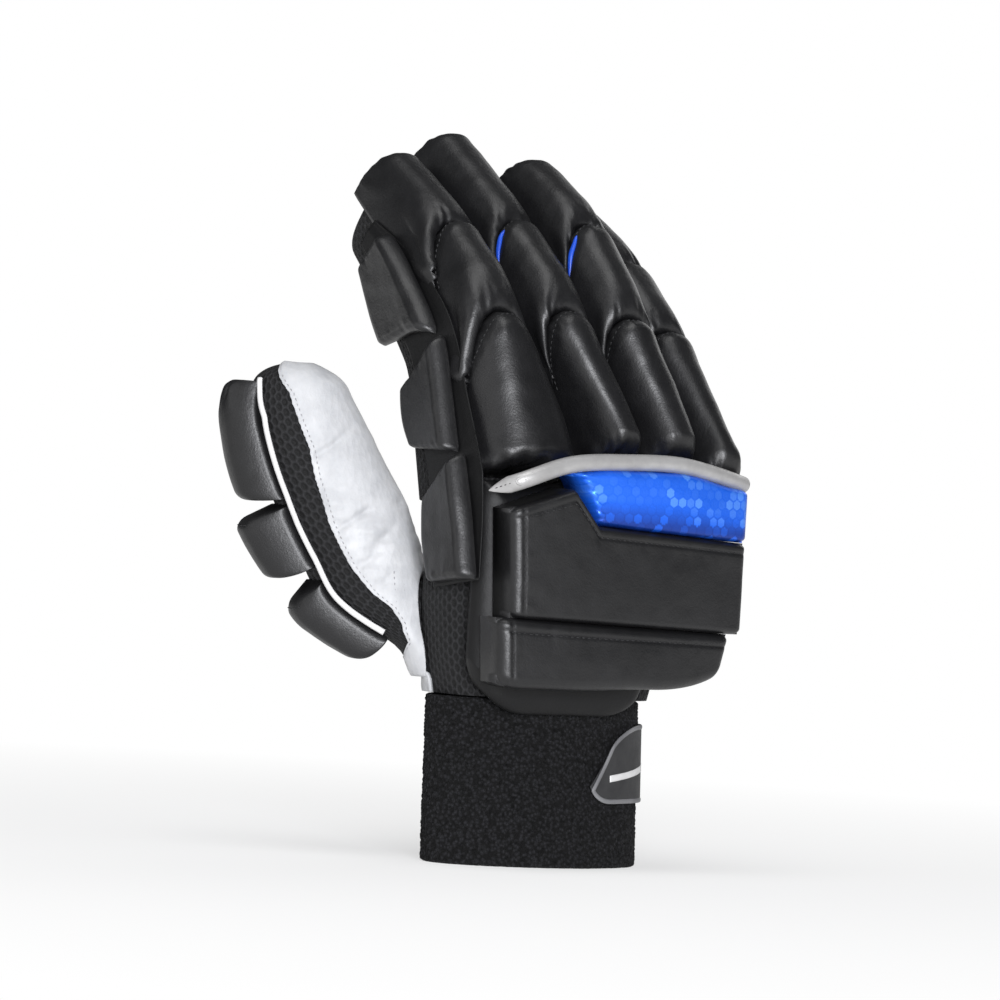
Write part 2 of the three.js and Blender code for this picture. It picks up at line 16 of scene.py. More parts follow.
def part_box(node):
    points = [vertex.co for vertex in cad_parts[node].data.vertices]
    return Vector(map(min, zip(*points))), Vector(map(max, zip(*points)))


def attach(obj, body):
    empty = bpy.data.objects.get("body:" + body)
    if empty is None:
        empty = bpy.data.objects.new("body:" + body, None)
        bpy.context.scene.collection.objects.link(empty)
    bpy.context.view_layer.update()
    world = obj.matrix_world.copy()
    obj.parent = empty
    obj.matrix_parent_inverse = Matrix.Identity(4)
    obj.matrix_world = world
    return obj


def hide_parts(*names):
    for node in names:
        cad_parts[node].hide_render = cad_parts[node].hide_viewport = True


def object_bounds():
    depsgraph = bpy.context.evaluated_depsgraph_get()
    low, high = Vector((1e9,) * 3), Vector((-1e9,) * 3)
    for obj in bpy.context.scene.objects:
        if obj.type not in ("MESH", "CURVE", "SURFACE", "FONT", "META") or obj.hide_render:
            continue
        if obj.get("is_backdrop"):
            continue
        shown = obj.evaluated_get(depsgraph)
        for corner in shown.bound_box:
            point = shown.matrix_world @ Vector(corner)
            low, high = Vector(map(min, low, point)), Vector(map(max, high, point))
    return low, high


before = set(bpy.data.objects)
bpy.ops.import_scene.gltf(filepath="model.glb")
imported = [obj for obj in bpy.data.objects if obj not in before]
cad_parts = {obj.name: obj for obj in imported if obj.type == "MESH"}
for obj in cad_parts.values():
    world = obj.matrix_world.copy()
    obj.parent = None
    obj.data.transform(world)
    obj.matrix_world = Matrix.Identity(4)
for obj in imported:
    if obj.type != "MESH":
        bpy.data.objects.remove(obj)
cad_box = [list(corner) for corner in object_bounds()]
print("frame nodes", len(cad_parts), "box", cad_box)

# %% [markdown]
# Sizes are easier to read in millimetres with the cuff's centre at the origin, so the shapes below are
# made there. The wristband's box in the frame says how far that origin lies from the frame's own: its right
# edge is the hem's, half a cuff's width away.

# %% Units and origin
CUFF_HALF = (49, 26)
cuff_low, cuff_high = (np.array(corner) * 1000 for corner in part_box("wristband"))
SHIFT = np.array([cuff_high[0] - CUFF_HALF[0], (cuff_low[1] + cuff_high[1]) / 2, 0])


def metres(points):
    """Hand millimetres to frame metres: add the shift, divide by a thousand."""
    return (np.asarray(points, float) + SHIFT) / 1000


print("cuff centre in the frame, mm", SHIFT.round(2))

# %% [markdown]
# The photograph was taken with a long lens, almost level, from the thumb's side of the glove's back, and
# the camera was turned a little. A pinhole camera 3 m away with a 275 mm lens gives the same picture.

# %% Camera
AZIMUTH, ELEVATION, ROLL = (math.radians(angle) for angle in (-36.0, 1.0, 3.5))
DISTANCE = 3.0
MM_PER_PIXEL = 0.393
PICTURE = 1000
AIM = (-15.6, 11.4, 141.9)

back = Vector((math.sin(AZIMUTH) * math.cos(ELEVATION), -math.cos(AZIMUTH) * math.cos(ELEVATION),
               math.sin(ELEVATION)))
level_right = Vector((math.cos(AZIMUTH), math.sin(AZIMUTH), 0))
level_up = back.cross(level_right)
right = level_right * math.cos(ROLL) + level_up * math.sin(ROLL)
up = level_up * math.cos(ROLL) - level_right * math.sin(ROLL)

camera = bpy.data.objects.new("camera", bpy.data.cameras.new("camera"))
bpy.context.scene.collection.objects.link(camera)
camera.data.sensor_width = 36
camera.data.lens = 36 * DISTANCE * 1000 / (MM_PER_PIXEL * PICTURE)
camera.data.clip_end = 50
turned = Matrix((right, up, back)).transposed().to_4x4()
camera.matrix_world = Matrix.Translation(Vector(metres(AIM)) + back * DISTANCE) @ turned
bpy.context.scene.camera = camera
print("lens", round(camera.data.lens, 1), "mm")

# %% [markdown]
# Small rules for numbers that the shapes share: a blend, an eased step, quarter circles for corners and rims,
# a signed power for rounded squares, a bell and a smooth random field.

# %% Number helpers


def mix(a, b, t):
    """a where t is 0, b where t is 1."""
    return a + (b - a) * t


def ease(t):
    """A step from 0 to 1 with level ends: 3 t squared minus 2 t cubed."""
    t = np.clip(t, 0, 1)
    return t * t * (3 - 2 * t)


def corner(t):
    """A quarter circle's rise: 0 up to t = 0, then from 0 to 1 ever steeper as t goes to 1."""
    return 1 - np.sqrt(1 - np.clip(t, 0, 1) ** 2)


def rise(t):
    """A quarter circle's rise that levels out: 0 at t = 0, steep at first, and 1 from t = 1 on."""
    return np.sqrt(1 - (1 - np.clip(t, 0, 1)) ** 2)


def power(t, exponent):
    """The size of t raised to the exponent, with the sign of t."""
    return np.sign(t) * np.abs(t) ** exponent


def bump_at(distance, width):
    """A bell: 1 at distance 0, near 0 past twice the width."""
    return np.exp(-(distance / width) ** 2)


LATTICE = np.random.default_rng(7).random((48, 48, 48))


def noise(points, size, seed=0):
    """Smooth random field from -1 to 1: random numbers on a lattice of the given size, eased between."""
    scaled = points / size + seed * 7.31 + 100
    low = np.floor(scaled).astype(int)
    share = ease(scaled - low)
    value = 0
    for step in np.ndindex(2, 2, 2):
        index = (low + step) % LATTICE.shape[0]
        weight = np.prod(np.where(step, share, 1 - share), axis=-1)
        value = value + weight * LATTICE[index[..., 0], index[..., 1], index[..., 2]]
    return 2 * value - 1


def wrinkles(points, size, seed=0):
    """Two sizes of the random field added, the finer one at half strength."""
    return noise(points, size, seed) + 0.5 * noise(points, size / 2.3, seed + 3)


print("field sample", noise(np.zeros((1, 3)), 5.0))

# %% [markdown]
# Every surface becomes a mesh in the same way. A grid of points is joined by quads. A wall or a pad needs
# two grids, its outer face and its under face, joined round their rims, so that the shape is closed as the
# real piece is. Texture coordinates hold lengths along the surface in metres, so a knit or mesh pattern keeps
# its pitch wherever it runs.

# %% Mesh helpers


def lengths(points):
    """Length run along both directions of a grid, averaged over the other one, in metres."""
    across = np.linalg.norm(np.diff(points, axis=0), axis=2).mean(1)
    down = np.linalg.norm(np.diff(points, axis=1), axis=2).mean(0)
    u = np.concatenate([[0], np.cumsum(across)]) / 1000
    v = np.concatenate([[0], np.cumsum(down)]) / 1000
    return np.stack(np.meshgrid(u, v, indexing="ij"), -1)


def quads(ids):
    """Quads between neighbours of a grid of vertex numbers."""
    return np.stack([ids[:-1, :-1], ids[1:, :-1], ids[1:, 1:], ids[:-1, 1:]], -1).reshape(-1, 4)


def build(name, points, faces, uv, spots_and_shade=None):
    """A smooth mesh object from points in hand mm, quads, and texture coordinates for each point.
    The faces are turned over if the volume they close counts as negative."""
    a, b, c, d = (points[faces[:, k]] for k in range(4))
    volume = (a * np.cross(b, c)).sum() + (a * np.cross(c, d)).sum()
    if volume < 0:
        faces = faces[:, ::-1]
    mesh = bpy.data.meshes.new(name)
    mesh.from_pydata(metres(points).tolist(), [], faces.tolist())
    mesh.polygons.foreach_set("use_smooth", np.ones(len(mesh.polygons), bool))
    at_loop = np.empty(len(mesh.loops), np.int32)
    mesh.loops.foreach_get("vertex_index", at_loop)
    layer = mesh.uv_layers.new(name="length")
    layer.data.foreach_set("uv", uv[at_loop].astype(np.float32).ravel())
    if spots_and_shade is not None:
        tint = mesh.attributes.new("spots_and_shade", "FLOAT", "POINT")
        tint.data.foreach_set("value", spots_and_shade.astype(np.float32))
    obj = bpy.data.objects.new(name, mesh)
    bpy.context.scene.collection.objects.link(obj)
    return obj


def shell(name, outer, under, spots_and_shade=None):
    """A closed pad: outer and under are grids (across, along, 3) of the same counts, joined at their rims."""
    nu, nv = outer.shape[:2]
    top = np.arange(nu * nv).reshape(nu, nv)
    low = top + nu * nv
    rim = [np.stack([low[:, 0], top[:, 0]], 1), np.stack([top[:, -1], low[:, -1]], 1),
           np.stack([top[0], low[0]], 1), np.stack([low[-1], top[-1]], 1)]
    faces = np.concatenate([quads(top), quads(low)[:, ::-1], *[quads(pair) for pair in rim]])
    points = np.concatenate([outer.reshape(-1, 3), under.reshape(-1, 3)])
    uv = lengths(outer).reshape(-1, 2)
    tint = None if spots_and_shade is None else np.concatenate([spots_and_shade.ravel(), 0 * spots_and_shade.ravel()])
    return build(name, points, faces, np.concatenate([uv, uv]), tint)


def tube(name, points):
    """A closed hose: each row of the grid is a ring whose last point repeats its first, and the last row
    meets the first again or both ends have shrunk to a point."""
    nu, nv = points.shape[:2]
    uv = lengths(points).reshape(-1, 2)
    obj = build(name, points.reshape(-1, 3), quads(np.arange(nu * nv).reshape(nu, nv)), uv)
    weld(obj)
    return obj


def weld(obj, distance=2e-6):
    """Merges points that lie on each other, which closes seams and poles."""
    work = bmesh.new()
    work.from_mesh(obj.data)
    bmesh.ops.remove_doubles(work, verts=work.verts, dist=distance)
    bmesh.ops.dissolve_degenerate(work, edges=work.edges, dist=1e-7)
    work.to_mesh(obj.data)
    work.free()


def normals(points, outside):
    """Unit normals of a grid: the cross product of its two slopes, turned to the side of the outside vectors."""
    du, dv = np.gradient(points, axis=0), np.gradient(points, axis=1)
    n = np.cross(du, dv)
    n /= np.linalg.norm(n, axis=2, keepdims=True) + 1e-9
    return n * np.sign((n * outside).sum(2, keepdims=True) + 1e-12)


def shares(count, crowd=0.6):
    """Shares from 0 to 1, closer together near both ends."""
    t = np.linspace(0, 1, count)
    return mix(t, 0.5 - 0.5 * np.cos(np.pi * t), crowd)


def rim_steps(count):
    """How many grid lines each of count lines lies in from the nearer edge, as a column."""
    steps = np.arange(count)
    return np.minimum(steps, steps[::-1])[:, None]


def grid(us, vs):
    """Two arrays that hold u and v at every point of a grid."""
    return np.meshgrid(us, vs, indexing="ij")


def dress(obj, material, slot, *nodes, fill=None):
    """Gives a finished piece its material and its body, and hides the solids it stands for; slot and fill are
    not used.
    """
    obj.data.materials.clear()
    obj.data.materials.append(material)
    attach(obj, "root")
    if nodes:
        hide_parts(*nodes)
    return obj


# %% [markdown]
# Materials are nodes only. The helper below starts one with a Principled shader, and short functions add a
# field of noise, a colour ramp or a bump, so that each finish reads as a recipe.

# %% Material helpers


class Recipe:
    """A material's node tree with short ways to add nodes."""

    def __init__(self, name):
        self.material = bpy.data.materials.new(name)
        self.material.use_nodes = True
        self.tree = self.material.node_tree
        self.shader = self.tree.nodes["Principled BSDF"]
        self.place = self.tree.nodes.new("ShaderNodeTexCoord")

    def link(self, a, b):
        """Joins output a to input b."""
        self.tree.links.new(a, b)

    def node(self, kind, inputs=None, **settings):
        """Adds a node. An input is given either another node's output or a plain value."""
        made = self.tree.nodes.new(kind)
        for key, value in settings.items():
            setattr(made, key, value)
        for key, value in (inputs or {}).items():
            if isinstance(value, bpy.types.NodeSocket):
                self.link(value, made.inputs[key])
            else:
                made.inputs[key].default_value = value
        return made

    def field(self, scale, detail=3.0, vector=None, rough=0.55):
        """A noise field; scale is cells in a metre."""
        vector = vector or self.place.outputs["Object"]
        return self.node("ShaderNodeTexNoise", {"Vector": vector, "Scale": scale, "Detail": detail,
                                                "Roughness": rough}).outputs["Fac"]

    def cells(self, scale, vector=None, feature="F1", random=1.0):
        """Distance to the nearest of many random points."""
        vector = vector or self.place.outputs["Object"]
        return self.node("ShaderNodeTexVoronoi", {"Vector": vector, "Scale": scale, "Randomness": random},
                         feature=feature).outputs["Distance"]

    def span(self, value, low, high, to_low=0.0, to_high=1.0):
        """Maps low..high to to_low..to_high and holds the ends."""
        return self.node("ShaderNodeMapRange", {"Value": value, "From Min": low, "From Max": high,
                                                "To Min": to_low, "To Max": to_high}).outputs["Result"]

    def math(self, operation, a, b=0.0):
        """A single operation on a and b, or on a alone."""
        return self.node("ShaderNodeMath", {0: a, 1: b}, operation=operation).outputs[0]

    def colour(self, value, low, high):
        """A colour between low and high."""
        made = self.node("ShaderNodeMix", {"Factor": value}, data_type="RGBA")
        made.inputs["A"].default_value = (*low, 1)
        made.inputs["B"].default_value = (*high, 1)
        return made.outputs["Result"]

    def bumps(self, *layers):
        """Each layer is a height field and its depth in metres; they are laid one on the other."""
        normal = None
        for height, depth in layers:
            inputs = {"Height": height, "Distance": depth, "Strength": 1.0}
            if normal is not None:
                inputs["Normal"] = normal
            normal = self.node("ShaderNodeBump", inputs).outputs["Normal"]
        self.link(normal, self.shader.inputs["Normal"])


# %% [markdown]
# The black leather is a thin coated leather: satin, with a fine pebbled grain, and slightly duller where
# hands have rubbed it. Cells two thirds of a millimetre wide give the pebbles, and slow noise moves the
# roughness and the tone.

# %% Black leather


def black_leather(name="black_leather", tone=1.0, gloss=0.0, shine=0.5):
    """Grain from cells and a fine noise, soft creases and roughness from a slower noise."""
    r = Recipe(name)
    grain = r.cells(1500, feature="SMOOTH_F1")
    fine = r.field(2600, 2)
    slow = r.field(45, 4)
    worn = r.field(160, 5, rough=0.7)
    low = tuple(tone * c for c in (0.0027, 0.0027, 0.0031))
    high = tuple(tone * c for c in (0.0063, 0.0062, 0.0069))
    r.link(r.colour(r.math("MULTIPLY", r.span(slow, 0.3, 0.7), r.span(worn, 0.2, 0.8, 0.5, 1)), low, high),
           r.shader.inputs["Base Color"])
    r.link(r.span(worn, 0.25, 0.75, 0.39 - gloss, 0.48 - gloss), r.shader.inputs["Roughness"])
    r.shader.inputs["Specular IOR Level"].default_value = shine
    r.bumps((grain, 0.00004), (fine, 0.000015), (worn, 0.00022))
    return r.material


leather_black = black_leather()
# painted shade: a copy of the black leather at half its tone, for the side strip in its valley and for the
# cushion, which faces down
leather_black_painted_shade = black_leather("black_leather_painted_shade", tone=0.5, gloss=-0.12, shine=0.3)

# %% [markdown]
# The palm and the thumb are soft white sheep leather. It is matte, faintly grey in its creases, with a
# grain finer than the black leather's.

# %% White leather


def white_leather():
    """Creases from cells drawn out along the glove, a fine grain, and slow noise for tone and roughness."""
    r = Recipe("white_leather")
    crease = r.cells(420, vector=r.node("ShaderNodeMapping", {"Vector": r.place.outputs["Object"],
                                                              "Scale": (1.0, 1.0, 0.45)}).outputs["Vector"])
    fine = r.field(2300, 3)
    slow = r.field(70, 5, rough=0.65)
    r.link(r.colour(r.span(slow, 0.3, 0.7), (0.32, 0.325, 0.335), (0.42, 0.423, 0.43)),
           r.shader.inputs["Base Color"])
    r.link(r.span(slow, 0.3, 0.7, 0.62, 0.5), r.shader.inputs["Roughness"])
    r.shader.inputs["Subsurface Weight"].default_value = 0.05
    r.shader.inputs["Subsurface Radius"].default_value = (0.001, 0.0008, 0.0006)
    r.bumps((crease, 0.00016), (fine, 0.00004), (slow, 0.0005))
    return r.material


leather_white = white_leather()

# %% [markdown]
# The black mesh is a spacer knit: rows of small slanted holes. Three cosines at 60 degrees to each other add up
# to a honeycomb of holes, which sinks the surface; the holes are also painted darker, as painted shade inside
# them.

# %% Mesh fabric


def mesh_fabric(name="mesh_fabric", pitch=0.0026):
    """Height = the sum of three cosines along directions 60 degrees apart, over the surface's own lengths."""
    r = Recipe(name)
    uv = r.node("ShaderNodeUVMap", uv_map="length").outputs["UV"]
    total = None
    for degrees in (0, 60, 120):
        turn = math.radians(degrees)
        k = 2 * math.pi / (pitch * math.sin(math.radians(60)))
        dot = r.node("ShaderNodeVectorMath", {0: uv, 1: (k * math.cos(turn), 0.62 * k * math.sin(turn), 0)},
                     operation="DOT_PRODUCT").outputs["Value"]
        wave = r.math("COSINE", dot)
        total = wave if total is None else r.math("ADD", total, wave)
    web = r.span(total, -1.3, 1.6, 1.0, 0.0)
    yarn = r.field(3500, 2)
    # painted shade: the holes are darker in colour than the web around them
    r.link(r.colour(web, (0.0012, 0.0012, 0.0014), (0.0105, 0.0105, 0.0115)), r.shader.inputs["Base Color"])
    r.link(r.span(yarn, 0.3, 0.7, 0.72, 0.9), r.shader.inputs["Roughness"])
    r.shader.inputs["Specular IOR Level"].default_value = 0.35
    r.bumps((web, 0.0011), (yarn, 0.00012))
    return r.material


mesh_black = mesh_fabric()

# %% [markdown]
# The cuff is terry with curled loops, close to astrakhan. The loops are really there in the mesh, and the
# material adds the yarns inside each loop and a soft fuzz. Its colour is painted light and shade: each yarn head
# is paler on top, and the gaps between the heads are black.

# %% Terry


def terry_knit():
    """Yarn heads from cells turned over, with painted light making them paler on top and painted shade making
    the gaps black, and a curly fuzz.
    """
    r = Recipe("terry_knit")
    loops = r.cells(610)
    curl = r.field(1900, 2, rough=0.7)
    # painted light and shade: the yarn heads are paler and the gaps between them black
    r.link(r.colour(r.span(loops, 0.15, 0.62), (0.013, 0.013, 0.015), (0.0003, 0.0003, 0.0004)),
           r.shader.inputs["Base Color"])
    r.link(r.span(curl, 0.3, 0.7, 0.8, 0.95), r.shader.inputs["Roughness"])
    r.shader.inputs["Specular IOR Level"].default_value = 0.25
    r.bumps((r.math("MULTIPLY", loops, -1.0), 0.0016), (curl, 0.0005))
    return r.material


terry = terry_knit()

# %% [markdown]
# The small trims: satin silver leather on the pipe, bright metallic blue on the accent pad with pale
# six-sided spots, thread, piping and the rubber of the strap's tab.

# %% Trim materials


def satin(name, low, high, roughness, metallic=0.0, grain=0.00005):
    """An even coated finish whose tone wanders between two colours."""
    r = Recipe(name)
    slow = r.field(110, 4)
    fine = r.field(2400, 2)
    r.link(r.colour(r.span(slow, 0.3, 0.7), low, high), r.shader.inputs["Base Color"])
    r.link(r.span(slow, 0.3, 0.7, roughness + 0.06, roughness - 0.04), r.shader.inputs["Roughness"])
    r.shader.inputs["Metallic"].default_value = metallic
    r.bumps((fine, grain), (slow, 0.0002))
    return r.material


def blue_foil():
    """Metallic blue. The piece's own attribute is above 0 where a spot is pale or a pucker's ridge carries
    painted light, and below 0 where painted shade darkens the lower part and the puckers' hollows.
    """
    r = Recipe("blue_foil")
    spots_and_shade = r.node("ShaderNodeAttribute", attribute_name="spots_and_shade").outputs["Fac"]
    crackle = r.cells(700, feature="DISTANCE_TO_EDGE")
    slow = r.field(90, 4)
    # painted shade: below 0 the blue darkens, on the pad's lower part and in the puckers' hollows; above 0 it
    # turns paler, on the spots and as painted light on the puckers' ridges
    base = r.colour(r.span(spots_and_shade, -1, 0), (0.004, 0.025, 0.20), (0.010, 0.115, 0.72))
    pale = r.node("ShaderNodeMix", {"Factor": r.span(spots_and_shade, 0, 1, 0, 0.55)}, data_type="RGBA")
    r.link(base, pale.inputs["A"])
    pale.inputs["B"].default_value = (0.16, 0.42, 0.95, 1)
    r.link(pale.outputs["Result"], r.shader.inputs["Base Color"])
    r.link(r.span(slow, 0.3, 0.7, 0.42, 0.3), r.shader.inputs["Roughness"])
    r.shader.inputs["Metallic"].default_value = 0.45
    r.bumps((crackle, 0.00006), (slow, 0.0002))
    return r.material


silver = satin("silver_pipe", (0.29, 0.285, 0.28), (0.38, 0.375, 0.37), 0.46, 0.4)
piping_white = satin("white_piping", (0.50, 0.495, 0.49), (0.60, 0.595, 0.59), 0.5)
piping_blue = satin("blue_piping", (0.005, 0.035, 0.30), (0.010, 0.07, 0.50), 0.4)
blue = blue_foil()
thread_black = satin("black_thread", (0.005, 0.005, 0.0055), (0.012, 0.012, 0.013), 0.75, grain=0.0001)
thread_white = satin("white_thread", (0.20, 0.20, 0.205), (0.32, 0.32, 0.33), 0.7, grain=0.0001)
rubber = satin("strap_rubber", (0.013, 0.013, 0.014), (0.024, 0.024, 0.025), 0.6, grain=0.00012)
binding = satin("strap_binding", (0.10, 0.10, 0.105), (0.17, 0.17, 0.175), 0.6, grain=0.0001)
print("materials", len(bpy.data.materials))

# %% [markdown]
# Thread is small but it is what makes leather look sewn. A row of stitches is a row of short capsules that
# sink into the leather at both ends. All the rows of one colour are kept in one mesh.

# %% Stitches
THREAD_SIDES = 6
thread_rows = {"black": [], "white": []}


def resample(line, pitch):
    """Points at even distances along a line of points, and the line's directions there."""
    steps = np.linalg.norm(np.diff(line, axis=0), axis=1)
    run = np.concatenate([[0], np.cumsum(steps)])
    count = max(int(run[-1] / pitch), 2)
    at = (np.arange(count) + 0.5) * run[-1] / count
    points = np.stack([np.interp(at, run, line[:, k]) for k in range(3)], 1)
    ahead = np.stack([np.interp(at + 0.3, run, line[:, k]) for k in range(3)], 1)
    behind = np.stack([np.interp(at - 0.3, run, line[:, k]) for k in range(3)], 1)
    way = ahead - behind
    return points, way / (np.linalg.norm(way, axis=1, keepdims=True) + 1e-9), at / run[-1]


def sew(line, out, colour="black", pitch=2.5, length=1.7, radius=0.24, lift=0.06):
    """Adds a row of stitches along line; out holds the surface's outward direction along it. A stitch is five
    rings of an ellipse's thickness, lifted in the middle and sunk at both ends."""
    points, way, at = resample(line, pitch)
    run = np.linspace(0, 1, len(out))
    out = np.stack([np.interp(at, run, out[:, k]) for k in range(3)], 1)
    out -= (out * way).sum(1, keepdims=True) * way
    out /= np.linalg.norm(out, axis=1, keepdims=True) + 1e-9
    side = np.cross(way, out)
    t = np.array([-1, -0.7, 0, 0.7, 1.0])[:, None]
    thick = radius * np.sqrt(1 - 0.96 * t ** 2)
    turn = np.arange(THREAD_SIDES) / THREAD_SIDES * 2 * np.pi
    height = thick * np.sin(turn) + lift + 0.3 * radius * (1 - t ** 2) - 0.25 * t ** 4
    ring = (points[:, None, None] + way[:, None, None] * (t * length / 2)[..., None]
            + side[:, None, None] * (thick * np.cos(turn))[..., None]
            + out[:, None, None] * height[..., None])
    thread_rows[colour].append(ring)


def thread_piece(name, colour, material, slot):
    """One mesh of all the stitches of a colour: their rings joined along, each end closed by a face."""
    rings = np.concatenate(thread_rows[colour])
    count = len(rings)
    ids = np.arange(rings[..., 0].size).reshape(rings.shape[:3])
    wrapped = np.concatenate([ids, ids[:, :, :1]], 2)
    side = np.stack([wrapped[:, :-1, :-1], wrapped[:, :-1, 1:],
                     wrapped[:, 1:, 1:], wrapped[:, 1:, :-1]], -1)
    faces = [face[::-1] for face in side.reshape(-1, 4).tolist()]
    faces += ids[:, 0].tolist() + ids[:, -1, ::-1].tolist()
    mesh = bpy.data.meshes.new(name)
    mesh.from_pydata(metres(rings.reshape(-1, 3)).tolist(), [], faces)
    mesh.polygons.foreach_set("use_smooth", np.ones(len(mesh.polygons), bool))
    obj = bpy.data.objects.new(name, mesh)
    bpy.context.scene.collection.objects.link(obj)
    print(name, count, "stitches")
    return dress(obj, material, slot)


# %% [markdown]
# The cuff is a flattened tube that narrows a little upwards. Its loops are bumps around random points that
# lie about 1.6 mm apart: the nearest point's distance, turned over, gives a field of small round heads.

# %% Knitted cuff
CUFF_HEIGHT = 65.4
CUFF_TAPER, CUFF_LEAN = 0.99, -2.8
TERRY = 3.0
LOOP = 1.6
LOOP_RISE, LOOP_ROOT = 1.35, -1.2
HEM_ROUND, HEM_LONG = 1.2, 1.6


def cuff_point(turn, z, out=0.0):
    """An ellipse, grown by out, that shrinks by the taper towards the top while its middle leans."""
    taper = mix(1, CUFF_TAPER, z / CUFF_HEIGHT)
    wide, deep = CUFF_HALF[0] * taper + out, CUFF_HALF[1] * taper + out
    middle = CUFF_LEAN * z / CUFF_HEIGHT
    return np.stack([middle + wide * np.cos(turn), -deep * np.sin(turn), z + 0 * turn], -1)


def loop_heads(length, width, count_u, count_v, seed=3):
    """Height of terry loops on a length by width cloth: one jittered point to each square cell, and the
    distance to the nearest of the nine around gives round heads, from 0 in the gaps to 1 on top."""
    cells = (int(length / LOOP), int(width / LOOP))
    rng = np.random.default_rng(seed)
    jitter = rng.random((*cells, 3))
    u, v = grid(np.linspace(0, cells[0], count_u), np.linspace(0, cells[1], count_v))
    best = np.full(u.shape, 9.0)
    tall = np.zeros(u.shape)
    for du, dv in [(a, b) for a in (-1, 0, 1) for b in (-1, 0, 1)]:
        i, j = np.floor(u).astype(int) + du, np.floor(v).astype(int) + dv
        spot = jitter[i % cells[0], j % cells[1]]
        distance = np.hypot(u - i - 0.15 - 0.7 * spot[..., 0], v - j - 0.15 - 0.7 * spot[..., 1])
        near = distance < best
        best = np.where(near, distance, best)
        tall = np.where(near, spot[..., 2], tall)
    return np.sqrt(np.clip(1 - (best / 0.78) ** 2, 0, 1)) * mix(0.6, 1.0, tall)


ROUND_COUNT, HIGH_COUNT = 561, 150
turn, high = grid(np.linspace(0, 2 * np.pi, ROUND_COUNT), np.linspace(0, 1, HIGH_COUNT))
edge = np.minimum(high, 1 - high) * CUFF_HEIGHT
heads = loop_heads(240, 66, ROUND_COUNT, HIGH_COUNT)
heads[-1] = heads[0]
rounded = HEM_ROUND * corner(1 - edge / HEM_LONG)
around_wave = 0.25 * np.sin(3 * turn + 1) * ease(high * 1.4) + 0.175 * np.sin(5 * turn)
outer = cuff_point(turn, high * CUFF_HEIGHT, LOOP_RISE * heads + LOOP_ROOT + around_wave - rounded)
inner = cuff_point(turn, high * CUFF_HEIGHT, -TERRY + rounded + 0.25 * heads)
cuff = tube("knitted_cuff", np.concatenate([outer, inner[:, ::-3], outer[:, :1]], 1))
dress(cuff, terry, "terry_knit", "wristband")
print("cuff faces", len(cuff.data.polygons))

# %% [markdown]
# The strap's tab is a flat rubbery patch that wraps from the back round the little-finger side. A grey
# binding is sewn round its edge, and a plain white bar is printed across it.

# %% Strap tab
STRAP_TIP, STRAP_TAIL = 78, -80
STRAP_Z = (26, 56)
STRAP_SLANT = 13
STRAP_CLEAR = 0.7
# how far each corner of the tip is cut back, over which share of the tab's length
LOW_CORNER, TOP_CORNER = (8, 0.08), (13, 0.22)


def strap_point(u, v, out):
    """u runs from the sewn tail to the tip, v from the lower to the upper edge. A quarter circle rounds the
    tip's lower corner, and a longer one its upper corner."""
    low = STRAP_Z[0] + LOW_CORNER[0] * corner(0.98 - (1 - u) / LOW_CORNER[1])
    top = STRAP_Z[1] - TOP_CORNER[0] * corner(0.98 - (1 - u) / TOP_CORNER[1])
    turn = np.radians(mix(STRAP_TAIL, STRAP_TIP - STRAP_SLANT * v, u))
    return cuff_point(turn, mix(low, top, v), STRAP_CLEAR + out)


u, v = grid(shares(161, 0.85), shares(41, 0.5))
rim = ease(np.minimum(np.minimum(u, 1 - u) * 130, np.minimum(v, 1 - v) * 30) / 1.2)
tab = shell("strap_tab", strap_point(u, v, mix(0.7, 1.2, rim)), strap_point(u, v, 0 * u))
dress(tab, rubber, "strap_rubber", "wrist_strap")


def cord_mesh(name, line, out, radius, flat=1.0, sides=12, closed=False):
    """A round cord along a line of points: rings of the given radius, pressed flat along out."""
    way = np.gradient(line, axis=0)
    if closed:
        way[0] = way[-1] = line[1] - line[-2]
    way /= np.linalg.norm(way, axis=1, keepdims=True) + 1e-9
    out = out - (out * way).sum(1, keepdims=True) * way
    out /= np.linalg.norm(out, axis=1, keepdims=True) + 1e-9
    side = np.cross(way, out)
    turn = np.linspace(0, 2 * np.pi, sides + 1)
    radius = np.broadcast_to(radius, len(line))
    flat = np.broadcast_to(flat, len(line))
    rings = (line[None] + np.cos(turn)[:, None, None] * side * radius[:, None]
             + np.sin(turn)[:, None, None] * out * (radius * flat)[:, None])
    if not closed:
        ends = [np.broadcast_to(line[k], (sides + 1, 1, 3)) for k in (0, -1)]
        rings = np.concatenate([ends[0], rings, ends[1]], 1)
    return tube(name, rings)


TIP_U, LOW_V, TOP_V = 0.994, 0.02, 0.98
t = np.linspace(0, 1, 60)
to_tip = TIP_U * np.sin(t * np.pi / 2)
edge_u = np.concatenate([to_tip, TIP_U + 0 * t, to_tip[::-1], 0 * t])
edge_v = np.concatenate([LOW_V + 0 * t, mix(LOW_V, TOP_V, t), TOP_V + 0 * t, mix(TOP_V, LOW_V, t)])
edge_line = strap_point(edge_u, edge_v, 1.0)
edge_out = strap_point(edge_u, edge_v, 4.0) - edge_line
bound_edge = cord_mesh("strap_binding", edge_line, edge_out, 0.95, 0.5, closed=True)
dress(bound_edge, binding, "strap_rubber")

BAR_TURNS, BAR_HEIGHTS, BAR_WIDE = (20, 66), (38.5, 34.2), 2.6
bar_turn, bar_z = grid(np.radians(np.linspace(*BAR_TURNS, 50)), np.linspace(0, BAR_WIDE, 5))
bar_z = bar_z + np.interp(bar_turn, np.radians(BAR_TURNS), BAR_HEIGHTS)
print_bar = shell("strap_bar", *(cuff_point(bar_turn, bar_z, STRAP_CLEAR + out) for out in (1.34, 1.1)))
dress(print_bar, piping_white, "white_piping")
print("strap sewn")

# %% [markdown]
# Each finger bends over three phalanges. Its axis is walked in steps of a millimetre, while its lean eases
# from one phalanx to the next, and everything on the finger is placed by s along that axis, x across it and
# n off it towards the back of the hand.

